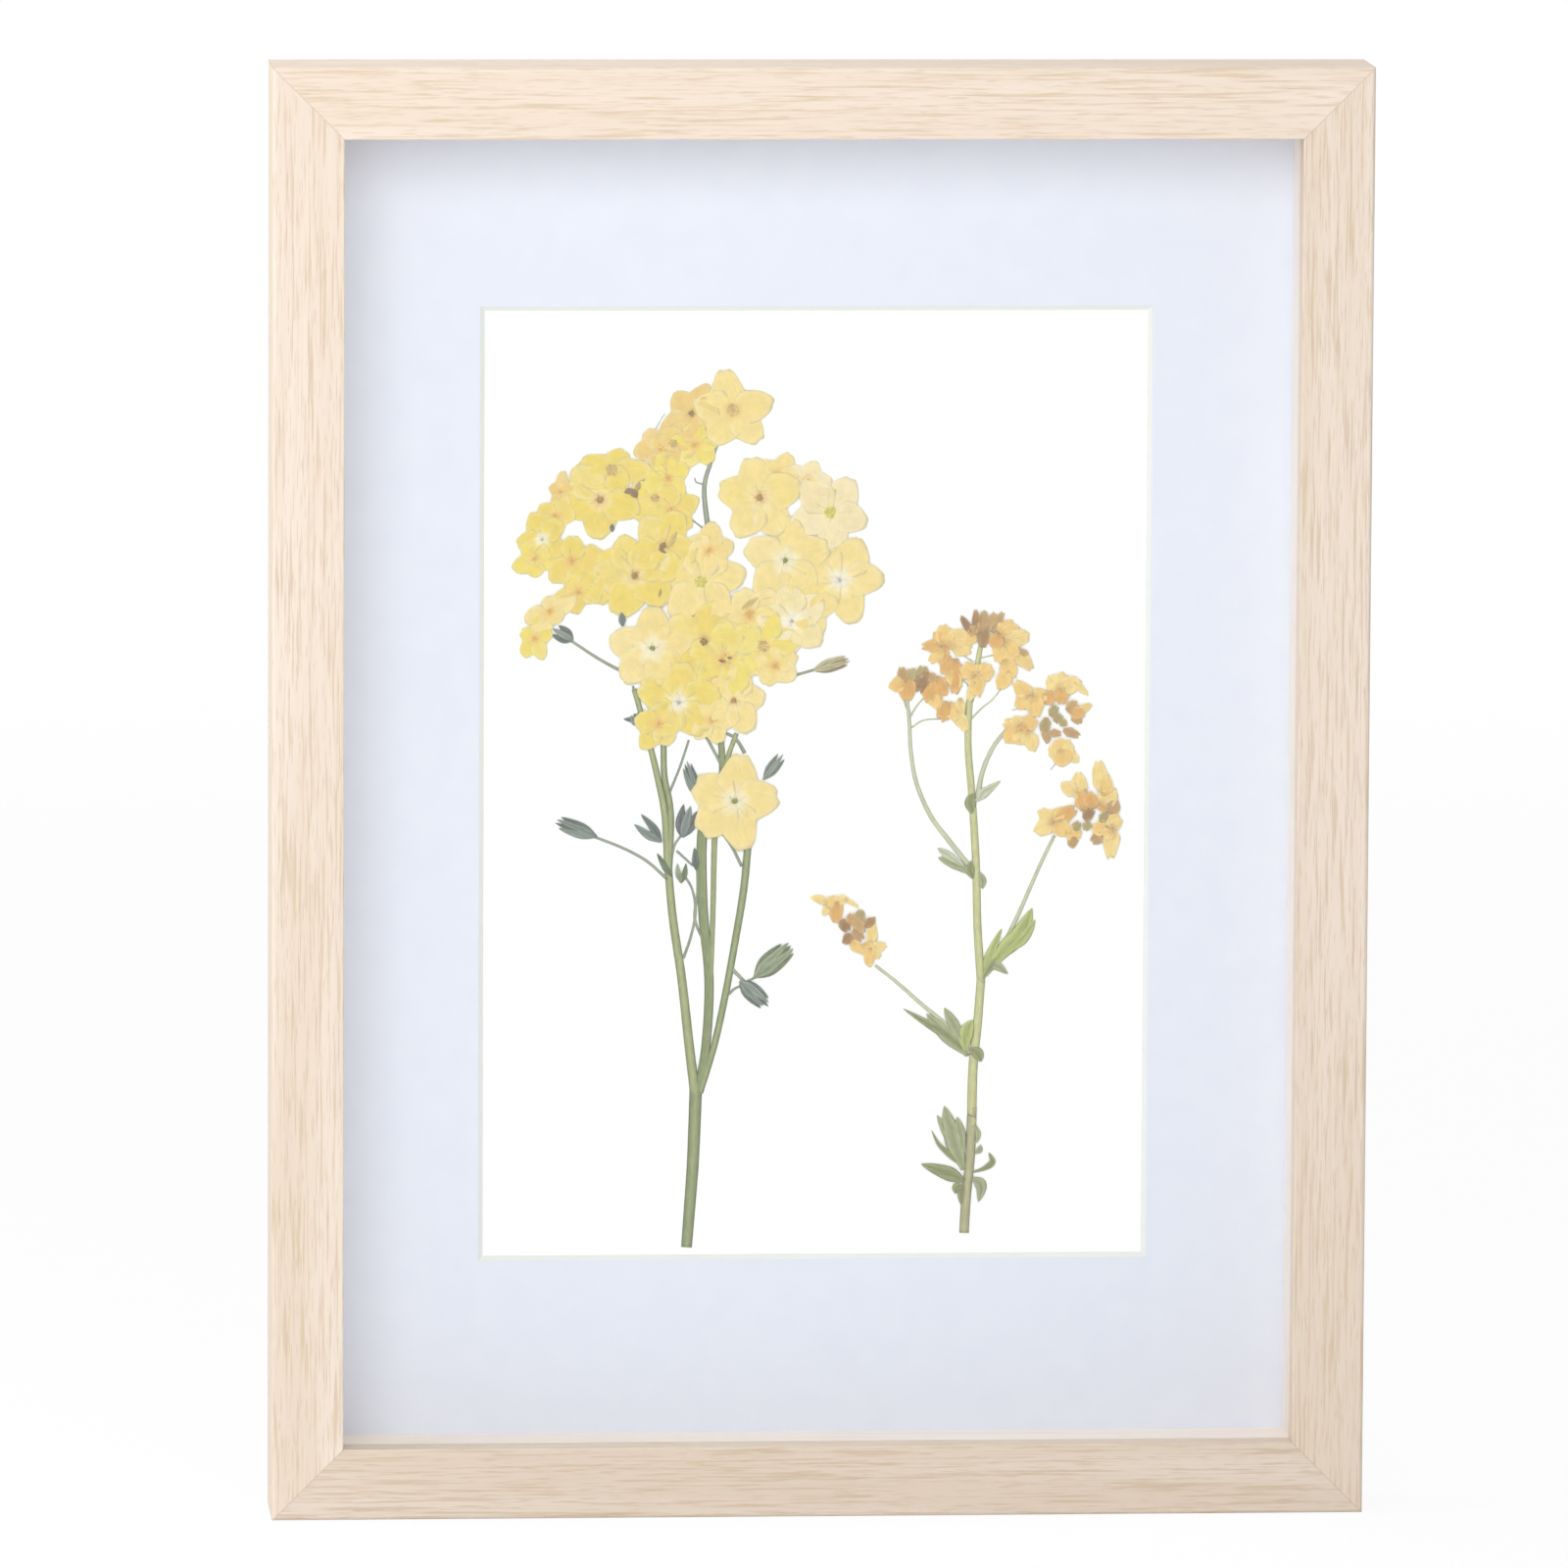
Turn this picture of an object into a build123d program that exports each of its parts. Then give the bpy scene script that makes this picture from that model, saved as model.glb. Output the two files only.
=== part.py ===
"""A box frame of pale wood with a bevelled mat and two pressed sprigs.

The frame stands upright. X runs to the right, Y from the front to the wall and Z up. The origin
is the centre of the whole object's footprint, at the height of the bottom rail's underside.
All sizes are in millimetres.
"""
from build123d import *
import math
import os

# Overall frame
FRAME_WIDTH = 330.0
FRAME_HEIGHT = 438.0
FACE_WIDTH = 21.5          # front face of a rail, outer edge to sight edge
REBATE_WIDTH = 6.5         # how far the lip covers the glazing
LIP_DEPTH = 10.0           # thickness of the lip in front of the glazing
OUTER_EDGE_RADIUS = 1.2
SIGHT_EDGE_RADIUS = 0.5

# What lies behind the lip, from front to back
GLAZING_THICKNESS = 2.0
SPACER_DEPTH = 18.0
MAT_THICKNESS = 1.5
CARD_THICKNESS = 1.0
BACKING_THICKNESS = 3.0
SPACER_THICKNESS = 6.2
SHEET_CLEARANCE = 0.5      # between a sheet's edge and the rebate wall

# Mat window
WINDOW_WIDTH = 200.0
WINDOW_HEIGHT = 287.0
BEVEL_ANGLE = 45.0

# Corner fasteners
V_NAIL_LEG = 4.5
V_NAIL_SHEET = 0.6
V_NAIL_DEPTH = 10.0
V_NAIL_PLACES = (4.0, 8.5)  # from the outer corner, along both rails

# Turn buttons
BUTTON_THICKNESS = 1.0
BUTTON_PIVOT_RADIUS = 5.5
BUTTON_NOSE_RADIUS = 4.0
BUTTON_REACH = 18.0        # pivot to the centre of the nose
BUTTON_CLEARANCE = 0.2     # above the rail and under the screw head
BUTTON_SIDE_INSET = 95.0   # side buttons, from the top and bottom of the frame
BUTTON_EDGE_RADIUS = 0.3

# Hangers
RING_WIRE_RADIUS = 1.0
RING_HALF_WIDTH = 6.2      # to the wire's centre line
RING_LEG = 3.0
RING_CORNER_RADIUS = 1.6
RING_STANDOFF = 2.3        # ring bar's centre line, out from the rail's back
STRAP_SHEET = 0.8
STRAP_WIDTH = 8.0
STRAP_LENGTH = 18.0        # ring bar to screw
HANGER_DROP = 135.0        # ring bar, down from the top of the frame

# Screws
SCREW_SHANK_RADIUS = 1.5
SCREW_LENGTH = 11.0
SCREW_TIP = 2.5
SCREW_HEAD_RADIUS = 3.0
SCREW_HEAD_HEIGHT = 1.8
SCREW_CROSS_LENGTH = 3.2
SCREW_CROSS_WIDTH = 0.7
SCREW_CROSS_DEPTH = 0.9
RUNNING_CLEARANCE = 0.05
HOLE_CLEARANCE = 0.3

# Wall bumpers
BUMPER_RADIUS = 5.0
BUMPER_HEIGHT = 5.0
BUMPER_INSET = 30.0        # from the frame's outer side
BUMPER_EDGE_RADIUS = 1.5

# Pressed sprigs, in three layers on the card
STEM_LAYER = 0.5
LEAF_LAYER = 0.3
BLOOM_LAYER = 0.3

# Worked out from the sizes above
WALL_WIDTH = FACE_WIDTH - REBATE_WIDTH
FRAME_DEPTH = (LIP_DEPTH + GLAZING_THICKNESS + SPACER_DEPTH + MAT_THICKNESS
               + CARD_THICKNESS + BACKING_THICKNESS)
TOTAL_DEPTH = FRAME_DEPTH + BUMPER_HEIGHT
Y_FRONT = -TOTAL_DEPTH / 2
Y_GLAZING = Y_FRONT + LIP_DEPTH
Y_SPACER = Y_GLAZING + GLAZING_THICKNESS
Y_MAT = Y_SPACER + SPACER_DEPTH
Y_CARD = Y_MAT + MAT_THICKNESS
Y_BACKING = Y_CARD + CARD_THICKNESS
Y_BACK = Y_FRONT + FRAME_DEPTH
Z_CENTRE = FRAME_HEIGHT / 2
REBATE_OPENING_WIDTH = FRAME_WIDTH - 2 * WALL_WIDTH
REBATE_OPENING_HEIGHT = FRAME_HEIGHT - 2 * WALL_WIDTH
SHEET_WIDTH = REBATE_OPENING_WIDTH - 2 * SHEET_CLEARANCE
SHEET_HEIGHT = REBATE_OPENING_HEIGHT - 2 * SHEET_CLEARANCE
PIVOT_INSET = WALL_WIDTH / 2
PIVOT_X = FRAME_WIDTH / 2 - PIVOT_INSET

# Sprig layout: points in the window, from its centre, right and up. A bloom is x, z, radius.
LAYOUT_WIDTH = 200.0
LAYOUT_HEIGHT = 287.0
LAYOUT_SCALE = min(WINDOW_WIDTH / LAYOUT_WIDTH, WINDOW_HEIGHT / LAYOUT_HEIGHT)

LEFT_BLOOMS = (
    (-25, 112, 10), (-36, 110, 8), (-43, 101, 8), (-61, 95, 7), (-64, 85, 10), (-47, 86, 8),
    (-16, 86, 11), (5, 82, 10), (-8, 67, 11), (8, 61, 11), (-54, 62, 11), (-65, 63, 8),
    (-34, 61, 11), (-81, 74, 7), (-45, 72, 9), (-48, 41, 11), (-33, 42, 11), (-25, 37, 10),
    (-15, 42, 10), (-6, 48, 9), (-40, 24, 11), (-24, 25, 9), (-79, 52, 5), (-84, 43, 5),
    (-23, -6, 12),
)
LEFT_STEMS = (
    (3.4, ((-37.5, -142), (-36, -118), (-34.8, -92))),
    (2.6, ((-34.8, -95), (-37, -80), (-39.3, -60), (-42, -42), (-43.6, -25), (-44.5, -10),
           (-47, 2), (-50, 14), (-54, 28))),
    (2.0, ((-43.2, -28), (-43, -10), (-45, 2), (-45, 16))),
    (3.0, ((-34, -95), (-31.6, -80), (-31, -60), (-33, -38), (-33, -14))),
    (1.8, ((-31, -56), (-29.8, -30), (-29, -14))),
    (2.2, ((-33.4, -95), (-29, -80), (-26, -65), (-23, -48), (-20.5, -32), (-19, -16))),
    (2.0, ((-27, 2), (-27.6, 10), (-28, 16))),
    (1.6, ((-31.5, 74), (-33, 90), (-31, 98), (-29, 103))),
    (0.9, ((-44, -29), (-54, -22), (-66, -17))),
    (0.9, ((-59, 34), (-66, 38), (-74, 43))),
    (0.9, ((-6, 32), (1, 34))),
    (0.9, ((-24, -58), (-20, -62), (-17, -60))),
)
LEFT_BUDS = (
    (-75.5, 44.5, 2.2), (4.5, 34.6, 2.0), (-53, 19, 2.4), (-37, 1, 1.8), (-11.5, 3.5, 2.0),
    (-70.5, -14.5, 2.8), (-49, -15, 2.4), (-38.5, -12, 3.0), (-39.5, -28, 2.0),
    (-12, -56, 3.4), (-17.5, -64.5, 2.6),
)
RIGHT_BLOOMS = (
    (41, 43, 5), (37, 41, 4), (50, 48, 5), (58, 44, 5), (59, 38, 4.5), (49, 33, 4.5),
    (58, 32, 4), (42, 31, 4), (29, 29, 5), (34, 30, 4), (36, 27, 4), (41, 22, 4.5),
    (67, 24, 5), (75, 30, 4.5), (74, 20, 4), (80, 20, 3.5), (63, 15, 5), (76, 8, 4),
    (81, -3, 4), (87, -2, 4.5), (73, -12, 5), (78, -13, 4.5), (84, -11, 4), (90, -15, 4.5),
    (6, -38, 3), (14, -43, 3.5), (14, -50, 3.5), (18, -49, 3),
)
RIGHT_STEMS = (
    (2.8, ((47, -138), (47.6, -124), (49, -110), (49.4, -88))),
    (2.4, ((49.4, -90), (51.4, -62), (50.2, -40), (49.4, -18), (48, 0), (47, 18), (48.5, 34))),
    (1.3, ((48.5, -27), (38, -13), (31.5, -1), (29.5, 14), (28.6, 26))),
    (1.3, ((49.5, -7), (51.6, 3), (59, 15))),
    (1.1, ((52, -60), (59, -49), (66, -34), (73.5, -17))),
    (1.0, ((49, -83), (35, -70), (19.5, -56))),
    (0.6, ((47.5, 18), (52, 22.5), (58, 29))),
)
RIGHT_LEAVES = (
    ((49, -8), (52, -5.5), (57, -0.5), (53, -1), (50, -3)),
    ((49, -29), (38.5, -24), (38, -21), (43, -22.5), (49, -25)),
    ((52.6, -59), (56, -55), (65, -48), (67.5, -41), (64, -42), (58, -50), (57.5, -46),
     (54.5, -50)),
    ((49, -84), (45, -80), (29, -70.5), (36, -72), (43, -77), (40.5, -70), (46.5, -77.5),
     (48.6, -74)),
    ((47.5, -120), (43, -111), (39, -103), (40.5, -100), (44.5, -107), (44.5, -103.5),
     (47.6, -112)),
    ((46.5, -124), (40, -121), (34, -117.5), (41, -117.5), (46.5, -119.5)),
    ((49, -121), (52, -124), (51, -129), (48.6, -126)),
    ((49.6, -120), (54, -118.5), (55.5, -116.5), (54.4, -114.5), (53.4, -117), (50, -118.2)),
)


def placed_box(low, high):
    """A box between two opposite corners."""
    size = [b - a for a, b in zip(low, high)]
    middle = [(a + b) / 2 for a, b in zip(low, high)]
    return Pos(*middle) * Box(*size)


def sheet(y_low, thickness, width, height):
    """A flat sheet parallel to the front face, centred in the frame."""
    return Pos(0, y_low + thickness / 2, Z_CENTRE) * Box(width, thickness, height)


def facing(outline_face, y_low, thickness):
    """Stand a face drawn in X and Z upright and thicken it towards the wall."""
    upright = Plane((0, y_low, 0), x_dir=(1, 0, 0), z_dir=(0, -1, 0)) * outline_face
    return extrude(upright, amount=thickness, dir=(0, 1, 0))


def in_window(x, z):
    """A layout point as a place in the frame."""
    return (x * LAYOUT_SCALE, Z_CENTRE + z * LAYOUT_SCALE)


def as_list(shape):
    """The separate solids of a shape."""
    return list(shape.solids())


# Rails -------------------------------------------------------------------------------------

def rail(length):
    """A mitred rail along X, with its outer edge at Z = 0 and its front face at Y_FRONT."""
    outline = Polyline(
        (0, 0), (FACE_WIDTH, 0), (FACE_WIDTH, LIP_DEPTH), (WALL_WIDTH, LIP_DEPTH),
        (WALL_WIDTH, FRAME_DEPTH), (0, FRAME_DEPTH), close=True)
    profile = make_face(outline)
    outer = profile.vertices().filter_by(lambda v: v.X < 0.1)
    profile = fillet(outer, OUTER_EDGE_RADIUS)
    sight = [v for v in profile.vertices() if v.X > FACE_WIDTH - 0.1 and v.Y < 0.1]
    profile = fillet(sight, SIGHT_EDGE_RADIUS)
    section = Plane((-length / 2, Y_FRONT, 0), x_dir=(0, 0, 1), z_dir=(-1, 0, 0)) * profile
    bar = extrude(section, amount=length, dir=(1, 0, 0))
    half = length / 2
    mitre = make_face(Polyline(
        (-half, 0), (half, 0), (half - FACE_WIDTH, FACE_WIDTH),
        (-half + FACE_WIDTH, FACE_WIDTH), close=True))
    return bar & facing(mitre, Y_FRONT - 1, FRAME_DEPTH + 2)


def make_rails():
    half_width = FRAME_WIDTH / 2
    return {
        "rail_bottom": rail(FRAME_WIDTH),
        "rail_top": Pos(0, 0, FRAME_HEIGHT) * Rot(0, 180, 0) * rail(FRAME_WIDTH),
        "rail_left": Pos(-half_width, 0, Z_CENTRE) * Rot(0, 90, 0) * rail(FRAME_HEIGHT),
        "rail_right": Pos(half_width, 0, Z_CENTRE) * Rot(0, -90, 0) * rail(FRAME_HEIGHT),
    }


def make_v_nails():
    """Two angled steel nails across each mitre, driven in from the back."""
    legs = make_face(Polyline(
        (0, 0), (V_NAIL_LEG, 0), (V_NAIL_LEG, V_NAIL_SHEET), (V_NAIL_SHEET, V_NAIL_SHEET),
        (V_NAIL_SHEET, V_NAIL_LEG), (0, V_NAIL_LEG), close=True))
    nail = facing(legs, Y_BACK - V_NAIL_DEPTH, V_NAIL_DEPTH)
    nails = []
    for place in V_NAIL_PLACES:
        low_left = Pos(place - FRAME_WIDTH / 2, 0, place) * nail
        low_right = low_left.mirror(Plane.YZ)
        nails += [low_left, low_right]
        level = Plane((0, 0, Z_CENTRE), z_dir=(0, 0, 1))
        nails += [low_left.mirror(level), low_right.mirror(level)]
    return nails


# Sheets and spacers ------------------------------------------------------------------------

def make_spacers():
    """Four strips that hold the mat away from the glazing, butted at the corners."""
    x_wall = REBATE_OPENING_WIDTH / 2
    z_low = WALL_WIDTH
    z_high = FRAME_HEIGHT - WALL_WIDTH
    y_ends = (Y_SPACER, Y_MAT)
    inner = x_wall - SPACER_THICKNESS

    def strip(x_low, x_high, z_from, z_to):
        return placed_box((x_low, y_ends[0], z_from), (x_high, y_ends[1], z_to))

    return {
        "spacer_bottom": strip(-x_wall, x_wall, z_low, z_low + SPACER_THICKNESS),
        "spacer_top": strip(-x_wall, x_wall, z_high - SPACER_THICKNESS, z_high),
        "spacer_left": strip(-x_wall, -inner, z_low + SPACER_THICKNESS,
                             z_high - SPACER_THICKNESS),
        "spacer_right": strip(inner, x_wall, z_low + SPACER_THICKNESS,
                              z_high - SPACER_THICKNESS),
    }


def make_mat():
    """The mat, its window wider at the front by the bevel."""
    widening = MAT_THICKNESS * math.tan(math.radians(BEVEL_ANGLE))
    board = sheet(Y_MAT, MAT_THICKNESS, SHEET_WIDTH, SHEET_HEIGHT)
    front = Plane((0, Y_MAT, Z_CENTRE), x_dir=(1, 0, 0), z_dir=(0, -1, 0))
    back = Plane((0, Y_CARD, Z_CENTRE), x_dir=(1, 0, 0), z_dir=(0, -1, 0))
    wide = front * Rectangle(WINDOW_WIDTH + 2 * widening, WINDOW_HEIGHT + 2 * widening)
    narrow = back * Rectangle(WINDOW_WIDTH, WINDOW_HEIGHT)
    return board - loft([wide.face(), narrow.face()])


def make_sheets():
    return {
        "glazing": sheet(Y_GLAZING, GLAZING_THICKNESS, SHEET_WIDTH, SHEET_HEIGHT),
        "mat_board": make_mat(),
        "mount_card": sheet(Y_CARD, CARD_THICKNESS, SHEET_WIDTH, SHEET_HEIGHT),
        "backing_board": sheet(Y_BACKING, BACKING_THICKNESS, SHEET_WIDTH, SHEET_HEIGHT),
    }


# Hardware on the back ----------------------------------------------------------------------

def screw():
    """A pan-head screw along +Y, its head's underside at Y = 0 and its tip at -SCREW_LENGTH."""
    outline = Polyline(
        (0, -SCREW_LENGTH), (SCREW_SHANK_RADIUS, -SCREW_LENGTH + SCREW_TIP),
        (SCREW_SHANK_RADIUS, 0), (SCREW_HEAD_RADIUS, 0),
        (SCREW_HEAD_RADIUS, SCREW_HEAD_HEIGHT * 0.45),
        (SCREW_HEAD_RADIUS * 0.6, SCREW_HEAD_HEIGHT), (0, SCREW_HEAD_HEIGHT), close=True)
    body = revolve(make_face(outline), axis=Axis.Y)
    cross_low = SCREW_HEAD_HEIGHT - SCREW_CROSS_DEPTH / 2
    slot = Box(SCREW_CROSS_LENGTH, SCREW_CROSS_DEPTH, SCREW_CROSS_WIDTH)
    body -= Pos(0, cross_low, 0) * slot
    body -= Pos(0, cross_low, 0) * Rot(0, 90, 0) * slot
    return body


def pilot_hole(head_seat):
    """The hole that a screw leaves in a rail, with its mouth at the rail's back."""
    depth = SCREW_LENGTH - head_seat + HOLE_CLEARANCE
    hole = Rot(90, 0, 0) * Cylinder(SCREW_SHANK_RADIUS + RUNNING_CLEARANCE, depth)
    return Pos(0, Y_BACK - depth / 2, 0) * hole


def turn_button():
    """A flat steel button in the XZ plane, its pivot at the origin and its nose towards +X."""
    pivot_end = Circle(BUTTON_PIVOT_RADIUS)
    nose = Pos(BUTTON_REACH, 0) * Circle(BUTTON_NOSE_RADIUS)
    blank = make_hull(pivot_end.edges() + nose.edges())
    plate = facing(blank, 0, BUTTON_THICKNESS)
    plate = fillet(plate.edges().group_by(Axis.Y)[-1], BUTTON_EDGE_RADIUS)
    hole = Rot(90, 0, 0) * Cylinder(SCREW_SHANK_RADIUS + RUNNING_CLEARANCE, 4 * BUTTON_THICKNESS)
    return plate - hole


def button_places():
    """Name, pivot X, pivot Z and the turn that points the nose inwards, for each button."""
    low = BUTTON_SIDE_INSET
    high = FRAME_HEIGHT - BUTTON_SIDE_INSET
    return (
        ("turn_button_left_low", -PIVOT_X, low, 0),
        ("turn_button_left_high", -PIVOT_X, high, 0),
        ("turn_button_right_low", PIVOT_X, low, 180),
        ("turn_button_right_high", PIVOT_X, high, 180),
        ("turn_button_bottom", 0, PIVOT_INSET, -90),
        ("turn_button_top", 0, FRAME_HEIGHT - PIVOT_INSET, 90),
    )


def hanger_places():
    """Name ending and the X and Z of the ring bar's middle, for each hanger."""
    height = FRAME_HEIGHT - HANGER_DROP
    return (("left", -PIVOT_X, height), ("right", PIVOT_X, height))


def d_ring():
    """A D ring that hangs down, its straight bar along X through the origin."""
    arc_height = -RING_LEG
    corner = RING_CORNER_RADIUS
    half = RING_HALF_WIDTH
    lowest = arc_height - half
    lines = Curve() + [
        Line((-half + corner, 0, 0), (half - corner, 0, 0)),
        ThreePointArc((half - corner, 0, 0),
                      (half - corner + corner * math.sin(math.pi / 4), 0,
                       -corner + corner * math.cos(math.pi / 4)),
                      (half, 0, -corner)),
        Line((half, 0, -corner), (half, 0, arc_height)),
        ThreePointArc((half, 0, arc_height), (0, 0, lowest), (-half, 0, arc_height)),
        Line((-half, 0, arc_height), (-half, 0, -corner)),
        ThreePointArc((-half, 0, -corner),
                      (-half + corner - corner * math.sin(math.pi / 4), 0,
                       -corner + corner * math.cos(math.pi / 4)),
                      (-half + corner, 0, 0)),
    ]
    section = Plane((-half + corner, 0, 0), z_dir=(1, 0, 0)) * Circle(RING_WIRE_RADIUS)
    return sweep(section, path=Wire(lines.edges()))


def hanger_strap():
    """A steel strap that holds the ring bar in a rolled eye, flat on the rail at Y = 0."""
    eye_inside = RING_WIRE_RADIUS + RUNNING_CLEARANCE
    eye_outside = eye_inside + STRAP_SHEET
    half = STRAP_WIDTH / 2
    tail = placed_box((-half, 0, -STRAP_LENGTH), (half, STRAP_SHEET, 0))
    end = Rot(90, 0, 0) * Cylinder(half, STRAP_SHEET)
    tail += Pos(0, STRAP_SHEET / 2, -STRAP_LENGTH) * end
    eye = Rot(0, 90, 0) * Cylinder(eye_outside, STRAP_WIDTH)
    neck = placed_box((-half, 0, -eye_outside * 0.6), (half, RING_STANDOFF, eye_outside * 0.6))
    strap = tail + neck + Pos(0, RING_STANDOFF, 0) * eye
    bore = Rot(0, 90, 0) * Cylinder(eye_inside, 2 * STRAP_WIDTH)
    strap -= Pos(0, RING_STANDOFF, 0) * bore
    hole = Rot(90, 0, 0) * Cylinder(SCREW_SHANK_RADIUS + RUNNING_CLEARANCE, 4 * STRAP_SHEET)
    return strap - Pos(0, 0, -STRAP_LENGTH) * hole


def make_bumpers():
    """Four rubber bumpers that keep the frame's back clear of the wall."""
    bumper = Rot(-90, 0, 0) * Cylinder(BUMPER_RADIUS, BUMPER_HEIGHT)
    bumper = fillet(bumper.edges().sort_by(Axis.Y)[-1], BUMPER_EDGE_RADIUS)
    x_place = FRAME_WIDTH / 2 - BUMPER_INSET
    heights = (PIVOT_INSET, FRAME_HEIGHT - PIVOT_INSET)
    y_middle = Y_BACK + BUMPER_HEIGHT / 2
    return [Pos(x, y_middle, z) * bumper for x in (-x_place, x_place) for z in heights]


# Pressed sprigs ----------------------------------------------------------------------------

def ribbon(points, width):
    """The outline face of a flat stem of constant width along a run of points."""
    centre = [Vector(*in_window(x, z)) for x, z in points]
    left = []
    right = []
    for i, point in enumerate(centre):
        before = centre[max(i - 1, 0)]
        after = centre[min(i + 1, len(centre) - 1)]
        along = (after - before).normalized()
        side = Vector(-along.Y, along.X) * (width * LAYOUT_SCALE / 2)
        left.append(point + side)
        right.append(point - side)
    return make_face(Polyline(*left, *reversed(right), close=True))


def disc(x, z, radius):
    """A round face at a layout point."""
    return Pos(*in_window(x, z)) * Circle(radius * LAYOUT_SCALE)


def pressed(faces, y_low, thickness):
    """Thicken flat faces into one layer and join those that touch."""
    solids = [facing(face, y_low, thickness) for face in faces]
    return as_list(solids[0].fuse(*solids[1:]))


def make_sprigs():
    y_stem = Y_CARD - STEM_LAYER
    y_leaf = y_stem - LEAF_LAYER
    y_bloom = y_leaf - BLOOM_LAYER
    leaves = [make_face(Polyline(*[in_window(x, z) for x, z in leaf], close=True))
              for leaf in RIGHT_LEAVES]
    return {
        "left_sprig_stems": pressed([ribbon(run, wide) for wide, run in LEFT_STEMS],
                                    y_stem, STEM_LAYER),
        "left_sprig_buds": pressed([disc(*bud) for bud in LEFT_BUDS], y_leaf, LEAF_LAYER),
        "left_sprig_blooms": pressed([disc(*bloom) for bloom in LEFT_BLOOMS],
                                     y_bloom, BLOOM_LAYER),
        "right_sprig_stems": pressed([ribbon(run, wide) for wide, run in RIGHT_STEMS],
                                     y_stem, STEM_LAYER),
        "right_sprig_leaves": pressed(leaves, y_leaf, LEAF_LAYER),
        "right_sprig_blooms": pressed([disc(*bloom) for bloom in RIGHT_BLOOMS],
                                      y_bloom, BLOOM_LAYER),
    }


# Assembly ----------------------------------------------------------------------------------

def build():
    nodes = make_rails()
    v_nails = make_v_nails()

    button_screws = []
    pilot_holes = []
    button_seat = BUTTON_THICKNESS + 2 * BUTTON_CLEARANCE
    for name, x, z, turn in button_places():
        placed = Pos(x, Y_BACK + BUTTON_CLEARANCE, z) * Rot(0, turn, 0)
        nodes[name] = placed * turn_button()
        button_screws.append(Pos(x, Y_BACK + button_seat, z) * screw())
        pilot_holes.append(Pos(x, 0, z) * pilot_hole(button_seat))

    hanger_screws = []
    for side, x, z in hanger_places():
        nodes["hanger_strap_" + side] = Pos(x, Y_BACK, z) * hanger_strap()
        nodes["d_ring_" + side] = Pos(x, Y_BACK + RING_STANDOFF, z) * d_ring()
        z_screw = z - STRAP_LENGTH
        hanger_screws.append(Pos(x, Y_BACK + STRAP_SHEET, z_screw) * screw())
        pilot_holes.append(Pos(x, 0, z_screw) * pilot_hole(STRAP_SHEET))

    for name in ("rail_bottom", "rail_top", "rail_left", "rail_right"):
        for cut in v_nails + pilot_holes:
            nodes[name] -= cut

    nodes["corner_v_nails"] = v_nails
    nodes["button_screws"] = button_screws
    nodes["hanger_screws"] = hanger_screws
    nodes["wall_bumpers"] = make_bumpers()
    nodes.update(make_spacers())
    nodes.update(make_sheets())
    nodes.update(make_sprigs())
    return nodes


def write(nodes):
    """One STEP file for each node."""
    os.makedirs("parts", exist_ok=True)
    for name, shape in nodes.items():
        shapes = shape if isinstance(shape, list) else [shape]
        solids = [solid for each in shapes for solid in each.solids()]
        whole = solids[0] if len(solids) == 1 else Compound(children=solids)
        export_step(whole, f"parts/{name}.step")


write(build())
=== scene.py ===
"""Looks of the box frame: pale wood, bevelled mat, glazing, pressed sprigs and back hardware.

Sprig sizes and places are in millimetres from the plants' shared origin, near the middle of the
mat's window, with x to the right and z up. on_card() turns them into the frame's metres.
"""

import bpy
import math
import random
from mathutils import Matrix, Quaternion, Vector


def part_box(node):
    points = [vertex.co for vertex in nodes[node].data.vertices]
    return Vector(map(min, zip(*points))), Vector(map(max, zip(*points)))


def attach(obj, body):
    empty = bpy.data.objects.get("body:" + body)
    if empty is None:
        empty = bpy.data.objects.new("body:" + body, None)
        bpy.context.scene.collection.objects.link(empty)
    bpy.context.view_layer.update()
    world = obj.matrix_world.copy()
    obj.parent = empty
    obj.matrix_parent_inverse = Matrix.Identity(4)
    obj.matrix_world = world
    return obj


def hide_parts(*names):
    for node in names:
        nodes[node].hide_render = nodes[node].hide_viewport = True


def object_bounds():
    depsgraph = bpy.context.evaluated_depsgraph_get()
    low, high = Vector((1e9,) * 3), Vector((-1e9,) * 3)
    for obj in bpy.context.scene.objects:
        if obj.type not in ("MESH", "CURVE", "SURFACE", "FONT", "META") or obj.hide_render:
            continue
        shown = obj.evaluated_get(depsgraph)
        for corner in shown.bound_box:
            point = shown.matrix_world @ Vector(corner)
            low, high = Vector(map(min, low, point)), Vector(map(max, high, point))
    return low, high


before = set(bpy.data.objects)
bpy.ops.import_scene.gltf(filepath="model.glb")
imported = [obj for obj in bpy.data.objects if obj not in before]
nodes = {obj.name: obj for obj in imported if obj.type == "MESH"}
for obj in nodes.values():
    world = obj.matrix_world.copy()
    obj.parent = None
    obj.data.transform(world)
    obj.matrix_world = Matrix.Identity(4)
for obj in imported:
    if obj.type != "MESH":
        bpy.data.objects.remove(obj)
cad_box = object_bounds()

MM = 0.001
WHITE = (1.0, 1.0, 1.0)
WINDOW = (200.0, 287.0)      # the mat's window at the card, width and height in millimetres

mat_low, mat_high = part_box("mat_board")
rail_low, rail_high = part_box("rail_bottom")
MIDDLE_X = (mat_low.x + mat_high.x) / 2
MIDDLE_Z = (mat_low.z + mat_high.z) / 2
MAT_THICKNESS = mat_high.y - mat_low.y
CARD_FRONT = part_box("mount_card")[0].y
FRAME_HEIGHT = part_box("rail_left")[1].z
FRAME_WIDTH = rail_high.x - rail_low.x

# How far the plants' origin lies left of and above the middle of the window, in millimetres
PLANTS_LEFT = 0.7
PLANTS_UP = 1.0


# Small helpers -----------------------------------------------------------------------------

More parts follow.
